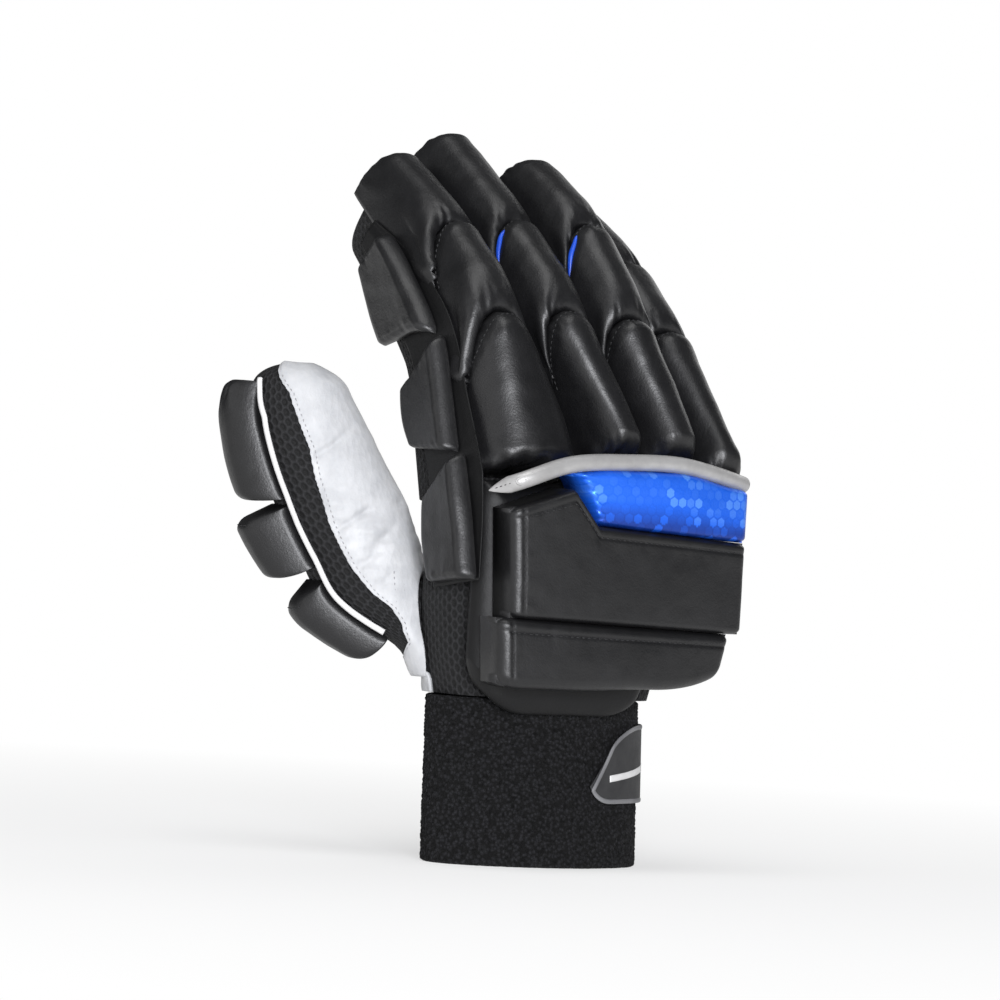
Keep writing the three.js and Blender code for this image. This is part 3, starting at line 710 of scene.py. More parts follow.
# %% Finger axes
FINGERS = {
    "index": dict(x=(-40, -34), y=2.7, z=144.1, length=(56.8, 38.6, 45.4), lean=(16, 44, 53.5), start=1.8),
    "middle": dict(x=(-8.5, -8), y=-4.7, z=149.6, length=(53.4, 41, 55), lean=(22, 43, 51), start=0.6),
    "ring": dict(x=(22, 18.5), y=-4.7, z=151.2, length=(52.5, 37.4, 38.4), lean=(21, 32, 54.5), start=-1),
    "little": dict(x=(52, 43.8), y=-1.9, z=146.6, length=(52.2, 32, 30.4), lean=(30, 37.5, 50), start=-8),
}
ROOT_LEAN, BEND = 0.6, 14
HALF_WIDTH = (13.2, 12.7, 11.9, 11.2)
BACK_DEPTH = (18, 16.5, 14.5, 12.5)
PALM_DEPTH = (18, 20.5, 20.5, 17)
ROLL_HEIGHT = (27, 25, 20.5, 17)
ROLL_HALF_WIDTH = (14.8, 14.2, 13.3, 12.6)
TIP_DOME = 10
BOXY = 3.2
GAP = 0.4


class Finger:
    """The bent axis of a finger. Its lean at s is the first phalanx's, plus an eased change at each joint."""

    def __init__(self, x, y, z, length, lean, start):
        """x at root and tip, y and z of the root, three lengths and leans, and where the rolls start."""
        self.x, self.start = x, start
        self.joints = np.concatenate([[0], np.cumsum(length)])
        self.total = self.joints[-1]
        a, b, c = lean
        self.lean = lambda s: (a * mix(ROOT_LEAN, 1, ease((s + 24) / 30))
                               + (b - a) * ease((s - self.joints[1] + BEND) / (2 * BEND))
                               + (c - b) * ease((s - self.joints[2] + BEND) / (2 * BEND)))
        zero = 60
        self.s = np.arange(-zero, self.total + 21)
        t = np.radians(self.lean(self.s[:-1] + 0.5))
        self.y = np.concatenate([[0], np.cumsum(np.sin(t))])
        self.z = np.concatenate([[0], np.cumsum(np.cos(t))])
        self.y += y - self.y[zero]
        self.z += z - self.z[zero]

    def place(self, s, x, n):
        """The point at s along the axis, x across it and n off it."""
        t = np.radians(self.lean(s))
        middle = mix(self.x[0], self.x[1], s / self.total)
        return np.stack([middle + x, np.interp(s, self.s, self.y) - n * np.cos(t),
                         np.interp(s, self.s, self.z) + n * np.sin(t)], -1)

    def size(self, row, s):
        """A size given at the root, the two joints and the tip, read at s."""
        return np.interp(s, self.joints, row)


fingers = {name: Finger(**values) for name, values in FINGERS.items()}
print({name: round(float(finger.total), 1) for name, finger in fingers.items()}, "mm of finger")

# %% [markdown]
# The stall inside is a boxy tube of mesh, with a domed tip. It shows at the index finger's side and on the
# palm, where soft leather covers its palm half.

# %% Finger stalls and their palm leathers
LINING, LEATHER = 1.6, 1.0


def stall_size(finger, s, out=0.0):
    """Half width, depth to the back and depth to the palm; a circle's fall closes them over the tip."""
    dome = 1 - corner((s - (finger.total - TIP_DOME)) / (TIP_DOME + out))
    return [(finger.size(row, s) + out) * dome for row in (HALF_WIDTH, BACK_DEPTH, PALM_DEPTH)]


def stall_point(finger, s, turn, out=0.0):
    """A superellipse round the axis; the palm half has its own depth."""
    wide, back_depth, palm_depth = stall_size(finger, s, out)
    deep = np.where(np.sin(turn) < 0, palm_depth, back_depth)
    return finger.place(s, wide * power(np.cos(turn), 2 / BOXY), deep * power(np.sin(turn), 2 / BOXY))


def stall_rows(finger, out, count=70):
    """Places along the axis, crowded towards the tip so that the dome stays round."""
    end = finger.total + out
    return GAP + (end - GAP) * (1 - (1 - np.linspace(0, 1, count)) ** 1.5)


for name, finger in fingers.items():
    turns = np.linspace(0, 2 * np.pi, 65)
    walls = []
    for out, order in ((0, 1), (-LINING, -1)):
        s, turn = grid(stall_rows(finger, out), turns)
        walls.append(stall_point(finger, s, turn, out)[::order])
    points = np.swapaxes(np.concatenate([*walls, walls[0][:1]]), 0, 1)
    stall = tube("mesh_stall_" + name, points)
    dress(stall, mesh_black, "mesh_fabric", "liner_" + name)

    from_turn = 264 if name == "index" else 240
    turn, s = grid(np.radians(np.linspace(from_turn, 300, 49)), stall_rows(finger, 0)[:-1])
    middle_place = finger.place(s, 0 * s, 0 * s)
    over = stall_point(finger, s, turn, 1.3)
    crease = noise(over * [1, 2.4, 2.4], 14, 5) + 0.5 * noise(over, 5, 6)
    rim = ease(rim_steps(49) / 4)
    over += normals(over, over - middle_place) * (0.45 * crease * rim - 0.5 * (1 - rim))[..., None]
    palm_side = shell("palm_finger_leather_" + name, over, stall_point(finger, s, turn, 0.3))
    dress(palm_side, leather_white, "white_leather", "leather_" + name)
    for edge in (2, -3):
        sew(over[edge, 2:-3], (over - middle_place)[edge, 2:-3], "white")

# %% [markdown]
# Three padded rolls lie over each finger. A roll is an arch of leather over stuffing: its section is a high
# superellipse, and its ends are drawn down into the seam. On the real glove the seam is higher on the crest
# than at the sides, so the upper roll's end hangs down in two lobes, while the lower roll rises into a dome.
# A dome turns over sharply, a lobe fades softly, and the seam pulls small wrinkles into both. Towards the
# knuckles the rolls lean to the little finger's side, which leaves the index finger the widest roll.

# %% Padded rolls
ROLL_ARCH = 2.5
ROLL_CLEAR = 0.7
ROLL_SKIRT = 0.42
SEAM_DROP = (22, 24)
SEAM_GAP = 0.15
LOBE_SIDE, LOBE_CLIMB = 0.72, 0.4
LOBE_FALL, DOME_FALL, KNUCKLE_FALL, TIP_FALL = (9.5, 0.70), (5.0, 0.62), (7.5, 0.45), (6.0, 0.6)
FLANK_FALL = (6.0, 0.55)
TIP_REACH = 2.6
PUCKER_PULL = {"index": 0.25, "middle": 0.62, "ring": 0.6, "little": 0.5}
KNUCKLE_ROW = (-55, -24, 7, 37, 66)
KNUCKLE_SHIFT = (0, 20, 13, 9, 0)
LEAN_TOP, LEAN_LONG = 224, 66
ROLL_AROUND, ROLL_ALONG = 141, 111
seam_lines = {}


def roll_section(finger, s, turn, share):
    """Point of the section, across and up, between the hollow underneath and the outer arch."""
    skirt = finger.size(BACK_DEPTH, s) * mix(1.1, ROLL_SKIRT, ease((s + 1) / 4))
    wide, deep = stall_size(finger, np.minimum(s, finger.total - TIP_DOME * 0.75), GAP)[:2]
    under = (wide * power(np.cos(turn), 2 / BOXY),
             np.maximum(skirt, (deep + ROLL_CLEAR) * power(np.sin(turn), 2 / BOXY)))
    crest = finger.size(BACK_DEPTH, s) + finger.size(ROLL_HEIGHT, s)
    arch = (finger.size(ROLL_HALF_WIDTH, s) * power(np.cos(turn), 2 / ROLL_ARCH),
            skirt + (crest - skirt) * power(np.sin(turn), 2 / ROLL_ARCH))
    return [mix(a, b, share) for a, b in zip(under, arch)]


def seam_drop(turn, drop):
    """How far a seam hangs below its crest: one minus a circle's height until the side's middle, where the
    lobe's end is, and from there it climbs back a little."""
    w = np.abs(turn / (np.pi / 2) - 1)
    past = np.clip(w - LOBE_SIDE, 0, 1) / (1 - LOBE_SIDE)
    return drop * (corner(w / LOBE_SIDE) - LOBE_CLIMB * past ** 2)


def end_fall(rest, length, share):
    """Thickness near an end: share of it at the very end, rising along a quarter circle over the length."""
    return mix(share, 1, rise(rest / length))


def roll_point(finger, span, drops, falls, turn, v, side):
    """span: start and end along the axis; drops: of its two seams; falls: length and end share of each.
    On the flanks a lobe stays full nearly to its end."""
    start, end = span
    long = end - start
    flank = ease((np.abs(turn - np.pi / 2) - 0.3) / 0.9) * (drops[0] > 0)
    lobe = mix(end_fall(v * long, *falls[0]), end_fall(v * long, *FLANK_FALL), flank)
    thick = np.minimum(lobe, end_fall((1 - v) * long, *falls[1]))
    low = start - seam_drop(turn, drops[0])
    high = end - seam_drop(turn, drops[1])
    s = mix(low, high, v)
    return finger.place(s, *roll_section(finger, s, turn, side * thick)), s


def fan_out(points):
    """Moves points along x near the knuckles. A table gives the shift across the hand, and an eased step
    brings it in from the top of the lean down to the knuckles."""
    fade = ease((LEAN_TOP - points[..., 2]) / LEAN_LONG)
    shift = np.interp(points[..., 0], KNUCKLE_ROW, KNUCKLE_SHIFT) * fade
    return points + shift[..., None] * np.array([1.0, 0.0, 0.0])

for number, (name, finger) in enumerate(fingers.items()):
    places = [finger.start, *finger.joints[1:]]
    drops = [0, *SEAM_DROP, 0]
    for k, part in enumerate(("proximal", "middle", "distal")):
        span = (places[k] + SEAM_GAP, places[k + 1] - SEAM_GAP + (TIP_REACH if k == 2 else 0))
        falls = (KNUCKLE_FALL if k == 0 else LOBE_FALL, TIP_FALL if k == 2 else DOME_FALL)
        turn, v = grid(np.linspace(0, np.pi, ROLL_AROUND), shares(ROLL_ALONG, 0.75))
        outer, s = roll_point(finger, span, (drops[k], drops[k + 1]), falls, turn, v, 1.0)
        under, _ = roll_point(finger, span, (drops[k], drops[k + 1]), falls, turn, v, 0.0)
        axis = finger.place(s, 0 * s, 0 * s + 8)
        out = normals(outer, outer - axis)
        rest_low, rest_high = v * (span[1] - span[0]), (1 - v) * (span[1] - span[0])
        skirt_rim = ease(np.minimum(turn, np.pi - turn) / 0.35)
        # slow dents of the stuffing, and wrinkles drawn in by the seams at both ends
        dents = 0.55 * noise(outer, 19, number * 5 + k) + 0.22 * noise(outer, 7, number + k)
        across = np.sin(turn * 17 + 2.5 * noise(outer, 9, 11 + k)) * noise(outer, 6, 21 + number)
        pulled = 0.5 * across * (bump_at(rest_low, 6.0) + bump_at(rest_high, 3.5))
        move = (dents + pulled) * skirt_rim
        if k == 0:
            # at the knuckle the leather is gathered to one point, from which creases fan out
            gather = finger.place(places[0] + 7.0, np.array(-14.5 * PUCKER_PULL[name]), 0.0)
            away = outer - gather
            reach = np.hypot(away[..., 0], away[..., 2])
            fan = np.arctan2(away[..., 2], away[..., 0])
            creases = np.cos(9 * fan + 2 * noise(outer, 12, 31)) * bump_at(reach, 11) * ease(reach / 4)
            move += skirt_rim * (0.5 * creases - 2.4 * bump_at(reach, 4.5))
        else:
            # the soft arched hollow just above a seam's crest
            crest = np.exp(-((turn - np.pi / 2) / 0.8) ** 2)
            move -= 0.45 * crest * bump_at(rest_low - 6.5, 4.5)
        flank = ease((np.abs(turn - np.pi / 2) - 0.15) / 1.1) * skirt_rim
        if k > 0:
            # the lobes swell over the seam
            move += flank * 1.2 * bump_at(rest_low - 5.0, 5.0)
            if name == "index":
                outside = ease((turn - 1.9) / 0.6) * ease(rest_low / 6)
                move += 2.4 * outside * skirt_rim * bump_at(rest_low - 9, 9)
        outer = fan_out(outer + out * move[..., None])
        roll = shell(f"padded_roll_{name}_{part}", outer, fan_out(under))
        dress(roll, leather_black, "black_leather", f"roll_{name}_{part}", fill=0.8)
        if k < 2:
            row = -9
            seam = slice(18, -18)
            sew(outer[seam, row], out[seam, row], pitch=2.3, length=1.6)
        seam_lines[name, part] = (outer[:, -10], out[:, -10])
print("rolls", 3 * len(fingers), "vertices each", 2 * ROLL_AROUND * ROLL_ALONG)

# %% [markdown]
# On the middle and ring fingers a blue piping lies in the upper seam, on the side that faces the thumb. It
# is widest in the middle of its run and slips under the leather at both ends.

# %% Blue piping
for name in ("middle", "ring"):
    line, out = seam_lines[name, "middle"]
    piece = slice(92, 118)
    count = len(line[piece])
    swell = np.sin(np.linspace(0.05, 1, count) * np.pi * 0.97) ** 0.6
    at = line[piece] + out[piece] * mix(-0.7, 0.35, swell)[:, None]
    trim = cord_mesh("blue_piping_" + name, at, out[piece], 1.25 * np.maximum(swell, 0.2), 0.7)
    dress(trim, piping_blue, "blue_foil")

# %% [markdown]
# Along the side of the index finger and of the hand runs a strip of leather, the flat valley between the
# rolls and three ridged pads. It could be one flat band, but it has to follow the finger's bend, so it is a
# grid beside the finger's axis whose two edges come from a short table.

# %% Side strip
index = fingers["index"]
STRIP_AT = (-38, 0, 42, 72, 122)
STRIP_PALM, STRIP_ROLLS = (2, 1, -4, -7, -4), (31, 35, 26, 20, 8)


def beside_index(s, n, out):
    """Beside the index finger, out beyond the sides of its rolls."""
    return index.place(s, -(index.size(ROLL_HALF_WIDTH, s) + out), n)


u, v = grid(np.linspace(0, 1, 41), np.linspace(0, 1, 141))
s = mix(STRIP_AT[0], STRIP_AT[-1], v)
n = mix(np.interp(s, STRIP_AT, STRIP_PALM), np.interp(s, STRIP_AT, STRIP_ROLLS), u)
points = beside_index(s, n, 1.7)
thick = (0.35 * noise(points, 16, 2) * ease(np.minimum(v, 1 - v) * 12) - 0.9 * ease((u - 0.55) / 0.3)
         - 0.25 * bump_at((1 - u) * 30 - 1, 2.0))
strip = shell("index_side_strip", beside_index(s, n, 1.75 + thick), beside_index(s, n, GAP))
# the strip wears the black leather with painted shade
dress(strip, leather_black_painted_shade, "black_leather", "index_side_panel")

# %% [markdown]
# Three pads guard the side of the index finger and of the hand. A pad is highest along a ridge close to the
# strip: one broad facet slopes from it to the palm, a narrow one falls to the strip. Its four corners are
# given beside the finger, the grid is blended between them, and a profile across it raises the ridge.

# %% Ridged side pads
SIDE_PADS = {
    "proximal": ((-36, 2), (-38, 31.5), (9.6, 26.0), (-3, 0)),
    "middle": ((19, -6.5), (10.4, 22.5), (55.8, 18.5), (43, -10.5)),
    "distal": ((74.5, -18), (56.6, 15), (107, 13), (113, -9)),
}
PAD_THICK, PAD_IN, RIDGE = 6.6, 2.1, 0.84
PAD_LONG = 46


def side_profile(u, v, long):
    """Height share: up a round palm edge, on to the ridge, and round it down to the strip."""
    edge = rise(u / 0.13)
    facet = mix(0.66, 1.10, np.clip(u / RIDGE, 0, 1) ** 1.2)
    soft = facet * (1 - corner((u - RIDGE) / (1 - RIDGE)))
    ends = rise(np.minimum(v, 1 - v) * long / 3.6)
    return mix(0.3, 1, edge) * soft * mix(0.42, 1, ends)


for number, (part, (palm_low, roll_low, roll_high, palm_high)) in enumerate(SIDE_PADS.items()):
    u, v = grid(shares(71, 0.7), shares(101, 0.7))
    bow = 2.5 * np.sin(np.pi * v) * (1 - u)
    round_u = mix(u, 0.5, 0.06 * bump_at(np.minimum(v, 1 - v), 0.03))
    s = mix(mix(palm_low[0], roll_low[0], round_u), mix(palm_high[0], roll_high[0], round_u), v)
    n = mix(mix(palm_low[1], roll_low[1], round_u), mix(palm_high[1], roll_high[1], round_u), v) - bow
    profile = side_profile(u, v, PAD_LONG)
    flat = beside_index(s, n, PAD_IN + PAD_THICK)
    dents = 0.35 * noise(flat, 15, 40 + number) + 0.12 * noise(flat, 5, 44 + number)
    ends = np.minimum(v, 1 - v) * PAD_LONG
    pull = 0.3 * np.sin(u * 30 + 3 * noise(flat, 8, 3)) * bump_at(ends - 2, 3) * noise(flat, 5, 50)
    outer = beside_index(s, n, PAD_IN + PAD_THICK * profile + (dents + pull) * np.minimum(profile * 1.4, 1))
    side_pad = shell("side_pad_leather_" + part, outer, beside_index(s, n, PAD_IN))
    dress(side_pad, leather_black, "black_leather", "side_pad_" + part, fill=0.7)
print("side strip and pads made")

# %% [markdown]
# The hand goes into a chamber of mesh, a boxy tube that widens from the cuff to the knuckles. Its table gives
# height, centre and half sizes. Its open top follows the roots of the finger stalls, so the rim's height is
# worked out from their places and leans.

# %% Hand chamber shape
CHAMBER = np.array([
    # z, x, y, half width, half depth
    (66, 0, 0, 47, 22),
    (82, 0.5, 0, 51, 22),
    (102, 1.5, -1, 55, 21),
    (124, 4, -1.5, 57.6, 19.5),
    (150, 6, -1.5, 59.6, 18),
])
RIM_RISE = 2
finger_x, finger_y, finger_z, finger_lean = (
    [values[key][0] if key in ("x", "lean") else values[key] for values in FINGERS.values()]
    for key in ("x", "y", "z", "lean"))


def knuckle_line(x, y):
    """Height of the chamber's open top: just under the roots of the finger stalls."""
    climb = np.tan(np.radians(np.interp(x, finger_x, finger_lean))) * (np.interp(x, finger_x, finger_y) - y)
    return np.interp(x, finger_x, finger_z) + np.minimum(climb, RIM_RISE) - 2.4 * GAP


def chamber_ring(turn, z, out):
    """A superellipse at height z, grown by out."""
    x, y, wide, deep = (np.interp(z, CHAMBER[:, 0], CHAMBER[:, k]) for k in (1, 2, 3, 4))
    return np.stack([x + (wide + out) * power(np.cos(turn), 2 / BOXY),
                     y - (deep + out) * power(np.sin(turn), 2 / BOXY), z + 0 * turn], -1)


def chamber_point(turn, v, out):
    """v runs from the cuff's top edge to the knuckle line."""
    rim = chamber_ring(turn, FINGERS["index"]["z"] + 0 * turn, out)
    return chamber_ring(turn, mix(CHAMBER[0, 0], knuckle_line(rim[..., 0], rim[..., 1]), v), out)


# %% [markdown]
# The thumb's stall is a flattened tube that leans out of the palm side and closes in a dome. Between the rows
# of its table a smooth curve is run, so that no row shows as a crease.

# %% Thumb shape
ACROSS = (0.79, -0.61)
THUMB = np.array([
    # x, y, z, half width, half depth
    (-41, 14, 72, 7.5, 9.5),
    (-46.5, 18.5, 84, 10, 12.5),
    (-52, 24, 91, 16, 14),
    (-57, 28, 98, 21.5, 15),
    (-64.8, 35, 116, 24, 15.5),
    (-72.4, 42, 138, 25.5, 16),
    (-79.6, 48.4, 157, 23.8, 15.5),
    (-84.2, 52.8, 173, 21, 14),
    (-85.8, 54.4, 182, 17.5, 12),
])
THUMB_TOP = 190.5
THUMB_END = (THUMB[-1] - THUMB[-2]) / (THUMB[-1, 2] - THUMB[-2, 2])


def smooth_along(places, values, t):
    """A curve through a table's entries: cubics whose slope at an entry is that of its neighbours' chord."""
    slope = np.gradient(values, places)
    i = np.clip(np.searchsorted(places, t) - 1, 0, len(places) - 2)
    gap = places[i + 1] - places[i]
    h = np.clip((t - places[i]) / gap, 0, 1)
    a, b = values[i], values[i + 1]
    return (a * (1 + 2 * h) * (1 - h) ** 2 + b * h * h * (3 - 2 * h)
            + gap * slope[i] * h * (1 - h) ** 2 - gap * slope[i + 1] * h * h * (1 - h))


def thumb_point(z, turn, out=0.0):
    """An ellipse turned to the thumb's own direction; a circle's fall closes it above the last row."""
    last = THUMB[-1, 2]
    beyond = np.maximum(z - last, 0)
    x, y, wide, deep = (smooth_along(THUMB[:, 2], THUMB[:, k], np.minimum(z, last)) + beyond * THUMB_END[k]
                        for k in (0, 1, 3, 4))
    dome = 1 - corner((z - last) / (THUMB_TOP - last + out))
    across = (wide + out) * dome * np.cos(turn)
    depth = (deep + out) * dome * np.sin(turn)
    return np.stack([x + across * ACROSS[0] - depth * ACROSS[1],
                     y + across * ACROSS[1] + depth * ACROSS[0], z + 0 * turn], -1)


def thumb_heights(out, count=90, start=THUMB[0, 2]):
    """Heights from the foot to the top, crowded at the dome."""
    return start + (THUMB_TOP + out - start) * (1 - (1 - np.linspace(0, 1, count)) ** 1.7)


def wall_tube(name, outer, inner):
    """A closed wall: the outer grid (around, up) and back down the inner one."""
    return tube(name, np.concatenate([outer, inner[:, ::-1], outer[:, :1]], 1))


def cut(obj, body):
    """Takes body's space out of obj with an exact boolean, keeps the largest part, and deletes body."""
    modifier = obj.modifiers.new("cut", "BOOLEAN")
    modifier.operation, modifier.solver, modifier.object = "DIFFERENCE", "EXACT", body
    graph = bpy.context.evaluated_depsgraph_get()
    made = bpy.data.meshes.new_from_object(obj.evaluated_get(graph))
    obj.modifiers.clear()
    obj.data = made
    bpy.data.objects.remove(body)
    count = len(made.vertices)
    edges = np.empty(2 * len(made.edges), np.int64)
    made.edges.foreach_get("vertices", edges)
    edges = edges.reshape(-1, 2)
    # each part takes the lowest of its vertex numbers, which is passed along the edges until nothing changes
    label = np.arange(count)
    while True:
        low = np.minimum(label[edges[:, 0]], label[edges[:, 1]])
        new = label.copy()
        np.minimum.at(new, edges[:, 0], low)
        np.minimum.at(new, edges[:, 1], low)
        new = new[new]
        if (new == label).all():
            break
        label = new
    keep = np.bincount(label, minlength=count).argmax()
    work = bmesh.new()
    work.from_mesh(made)
    work.verts.ensure_lookup_table()
    bmesh.ops.delete(work, geom=[work.verts[k] for k in np.where(label != keep)[0]], context="VERTS")
    work.to_mesh(made)
    work.free()
    return obj


def thumb_body(out):
    """The stall's space, closed, for cutting."""
    turn, z = grid(np.linspace(0, 2 * np.pi, 65), thumb_heights(out, 40, THUMB[0, 2] - 0.01))
    points = thumb_point(z, turn, out)
    foot = np.broadcast_to(np.array([*THUMB[0, :2], THUMB[0, 2] - 1.0]), (65, 1, 3))
    return tube("thumb_space", np.concatenate([foot, points], 1))


def chamber_body(out):
    """The chamber's space, closed at both ends, for cutting."""
    turn, v = grid(np.linspace(0, 2 * np.pi, 113), np.linspace(0, 1, 12))
    points = chamber_point(turn, v, out)
    below = points[:, :1] - [0, 0, 12]
    foot, top = (np.broadcast_to(np.array([4, 0, height]), (113, 1, 3)) for height in (54.0, 150.0))
    return tube("chamber_space", np.concatenate([foot, below, points, top], 1))


# %% [markdown]
# The chamber is a wall of mesh, open at the cuff and at the knuckles. Soft white leather covers its palm
# half. The thumb's stall goes into its side, so a hole of the stall's own shape is cut out of both with a
# boolean: a hole drawn into the grid would leave a stepped edge.

# %% Mesh chamber and palm leather
PALM_LIFT = 0.3
THUMB_CLEAR = 0.7
turn, v = grid(np.linspace(0, 2 * np.pi, 225), np.linspace(0, 1, 61))
sag = 0.5 * noise(chamber_point(turn, v, 0), 22, 8) * np.sin(np.pi * v)
chamber = wall_tube("mesh_chamber", chamber_point(turn, v, sag), chamber_point(turn, v, -LINING))
cut(chamber, thumb_body(-LINING))
dress(chamber, mesh_black, "mesh_fabric", "palm_liner")

share, v = grid(np.linspace(0, 1, 161), np.linspace(0, 1, 101))
turn = np.radians(mix(184 + 44 * ease((v - 0.05) / 0.35), 328, share))
base = chamber_point(turn, v, PALM_LIFT + LEATHER)
rim = ease(rim_steps(161) / 5)
fold = wrinkles(base * [1, 1, 1.8], 17, 12) * 0.5 + 0.3 * noise(base * [0.6, 1, 3], 9, 14)
palm = shell("palm_leather_sheet", chamber_point(turn, v, PALM_LIFT + LEATHER + 0.4 + 0.7 * fold * rim),
             chamber_point(turn, v, PALM_LIFT + 0 * v))
cut(palm, thumb_body(LEATHER + THUMB_CLEAR))
dress(palm, leather_white, "white_leather", "palm_leather")
print("chamber", len(chamber.data.polygons), "palm", len(palm.data.polygons), "faces")

# %% [markdown]
# On the thumb the mesh shows as a curved strip between the pads' piping and the white leather, whose edge
# swings across the front of the thumb: a small table gives the edge's turn at some heights. The leather is
# creased where the thumb bends, and crumples where it is sewn to the hand.

# %% Thumb stall and leather
turn, z = grid(np.linspace(0, 2 * np.pi, 129), thumb_heights(0, 90))
inner_z = grid(turn[:, 0], thumb_heights(-LINING, 90))[1]
thumb_stall = wall_tube("mesh_stall_thumb", thumb_point(z, turn), thumb_point(inner_z, turn, -LINING))
cut(thumb_stall, chamber_body(GAP))
dress(thumb_stall, mesh_black, "mesh_fabric", "liner_thumb")

LEATHER_EDGE = np.array([
    # height, turn in degrees from which the leather begins
    (72, 200), (79, 214), (85, 262), (92, 280), (98, 280), (103, 270), (113, 261), (129, 258),
    (146, 262), (158, 268), (171, 266), (179, 262), (188, 244), (190.5, 240),
]).T
LEATHER_BACK = 472.5


def thumb_leather_point(share, z, out):
    """share runs from the curved front edge, which is lightly scalloped by its stitches, round the inner side
    to the back of the thumb."""
    scallop = 0.35 * np.sin(z * 2.3 + 2 * np.sin(z * 0.31)) * bump_at(share, 0.05)
    return thumb_point(z, np.radians(mix(np.interp(z, *LEATHER_EDGE) + scallop, LEATHER_BACK, share)), out)


def crease_at(points, a, b, width, depth):
    """A crease along the line from a to b: a bell of the distance from that line, faded at both ends."""
    a, b = np.array(a, float), np.array(b, float)
    along_it = ((points - a) @ (b - a)) / ((b - a) @ (b - a))
    distance = np.linalg.norm(points - a - np.clip(along_it, 0, 1)[..., None] * (b - a), axis=-1)
    return -depth * bump_at(distance, width) * (0.3 + 0.7 * np.sin(np.pi * np.clip(along_it, 0, 1)))


CREASES = [
    # height and turn of both ends, width and depth in mm
    ((153.5, 264), (162.0, 302), 1.3, 0.65), ((158.0, 285), (167.5, 324), 1.5, 0.6),
    ((125.5, 259), (136.5, 300), 1.2, 0.8), ((133.0, 286), (139.0, 345), 1.5, 1.5),
    ((119.0, 284), (130.0, 320), 1.9, 0.8), ((111.0, 262), (120.0, 296), 1.7, 0.6),
    ((102.0, 268), (113.0, 304), 2.0, 0.6), ((145.0, 275), (150.0, 320), 1.8, 0.35),
]
share, z = grid(np.linspace(0, 1, 221), thumb_heights(0, 200, THUMB[0, 2]))
base = thumb_leather_point(share, z, 0.3 + LEATHER)
rim = ease(share * 30) * ease((1 - share) * 30)
fold = 0.35 * wrinkles(base * [1, 1, 1.5], 16, 61)
fold += 0.30 * noise(base * [0.5, 0.5, 2.2], 5.5, 62) * bump_at(z - 118, 22)
for (z_a, turn_a), (z_b, turn_b), width, depth in CREASES:
    fold += crease_at(base, thumb_point(np.array(z_a), np.radians(turn_a), 1.6),
                      thumb_point(np.array(z_b), np.radians(turn_b), 1.6), width, depth)
out = normals(base, base - (thumb_point(z, 0 * z) + thumb_point(z, 0 * z + np.pi)) / 2)
outer = base + out * (0.45 + (1.3 * fold + 0.25) * rim)[..., None]
thumb_skin = shell("thumb_leather_sheet", outer, thumb_leather_point(share, z, 0.4))
cut(thumb_skin, chamber_body(LEATHER + THUMB_CLEAR))
dress(thumb_skin, leather_white, "white_leather", "thumb_leather")
sew(outer[5, 10:170], out[5, 10:170], "white", pitch=2.2, length=1.3, radius=0.2)
for degrees in (0, 9):
    height = np.linspace(97, 124, 50)
    place = np.radians(np.interp(height, (84, 100, 124), (258, 288, 311)) + degrees)
    row = thumb_point(height, place, 1.6)
    sew(row, row - thumb_point(height, place, -5), "white", pitch=2.2, length=1.4, radius=0.24)

# %% [markdown]
# Three blocks of padding fan out from the thumb's outer edge, each a stuffed box with soft corners. The top
# one is gathered under the thumb's tip, where its leather is pulled round the dome.

# %% Thumb pads
THUMB_PADS = {
    "upper": dict(heights=(137.6, 182.5), fall=(11, -4), reach=(12.5, 9), long=45),
    "middle": dict(heights=(112.5, 135.2), fall=(35, 29), reach=(14, 17), long=25),
    "lower": dict(heights=(86.0, 106.5), fall=(62, 54), reach=(12.5, 13.5), long=27),
}
PAD_CORNER = 5.0
PAD_WIDE = 24


def thumb_pad_point(pad, u, v, side, extra=0.0):
    """From the stall's outer edge outwards: full reach in the middle, a quarter circle down at each rim."""
    z = mix(*pad["heights"], v)
    base = thumb_point(z, np.radians(mix(135, 225, u)), 1.2)
    rim = end_fall(np.minimum(u, 1 - u) * PAD_WIDE, PAD_CORNER, 0.34)
    ends = end_fall(np.minimum(v, 1 - v) * pad["long"], PAD_CORNER * 0.8, 0.62)
    crown = 1 + 0.05 * np.sin(np.pi * v) * np.sin(np.pi * u)
    lift = side * (mix(*pad["reach"], v) * rim * ends * crown + extra)
    fall = np.radians(mix(*pad["fall"], v))
    level = lift * np.cos(fall)
    return base - np.stack([ACROSS[0] * level, ACROSS[1] * level, lift * np.sin(fall)], -1)


for number, (part, pad) in enumerate(THUMB_PADS.items()):
    u, v = grid(shares(81, 0.75), shares(81, 0.75))
    plain = thumb_pad_point(pad, u, v, 1.0)
    dents = 0.4 * noise(plain, 13, 70 + number) + 0.15 * noise(plain, 5, 75 + number)
    if part == "upper":
        tucks = np.sin(u * 46 + 2 * noise(plain, 9, 80)) * ease((v - 0.72) / 0.2) * ease((u - 0.35) * 3)
        dents = dents + 0.55 * tucks
    rim = ease(np.minimum(np.minimum(u, 1 - u) * 12, np.minimum(v, 1 - v) * 16))
    outer = thumb_pad_point(pad, u, v, 1.0, dents * rim)
    block = shell("thumb_pad_leather_" + part, outer, thumb_pad_point(pad, u, v, 0.0))
    dress(block, leather_black, "black_leather", "thumb_pad_" + part, fill=0.75)
    if part != "upper":
        centre = outer.mean((0, 1))
        sew(outer[16:-14, -12], (outer - centre)[16:-14, -12], pitch=2.4, length=1.5)

# %% [markdown]
# A white piping runs up the thumb between the pads and the mesh. On the real glove it is a strip of leather
# folded round a cord, so here it is a round cord, pressed a little flat, that wavers slightly as sewing does.

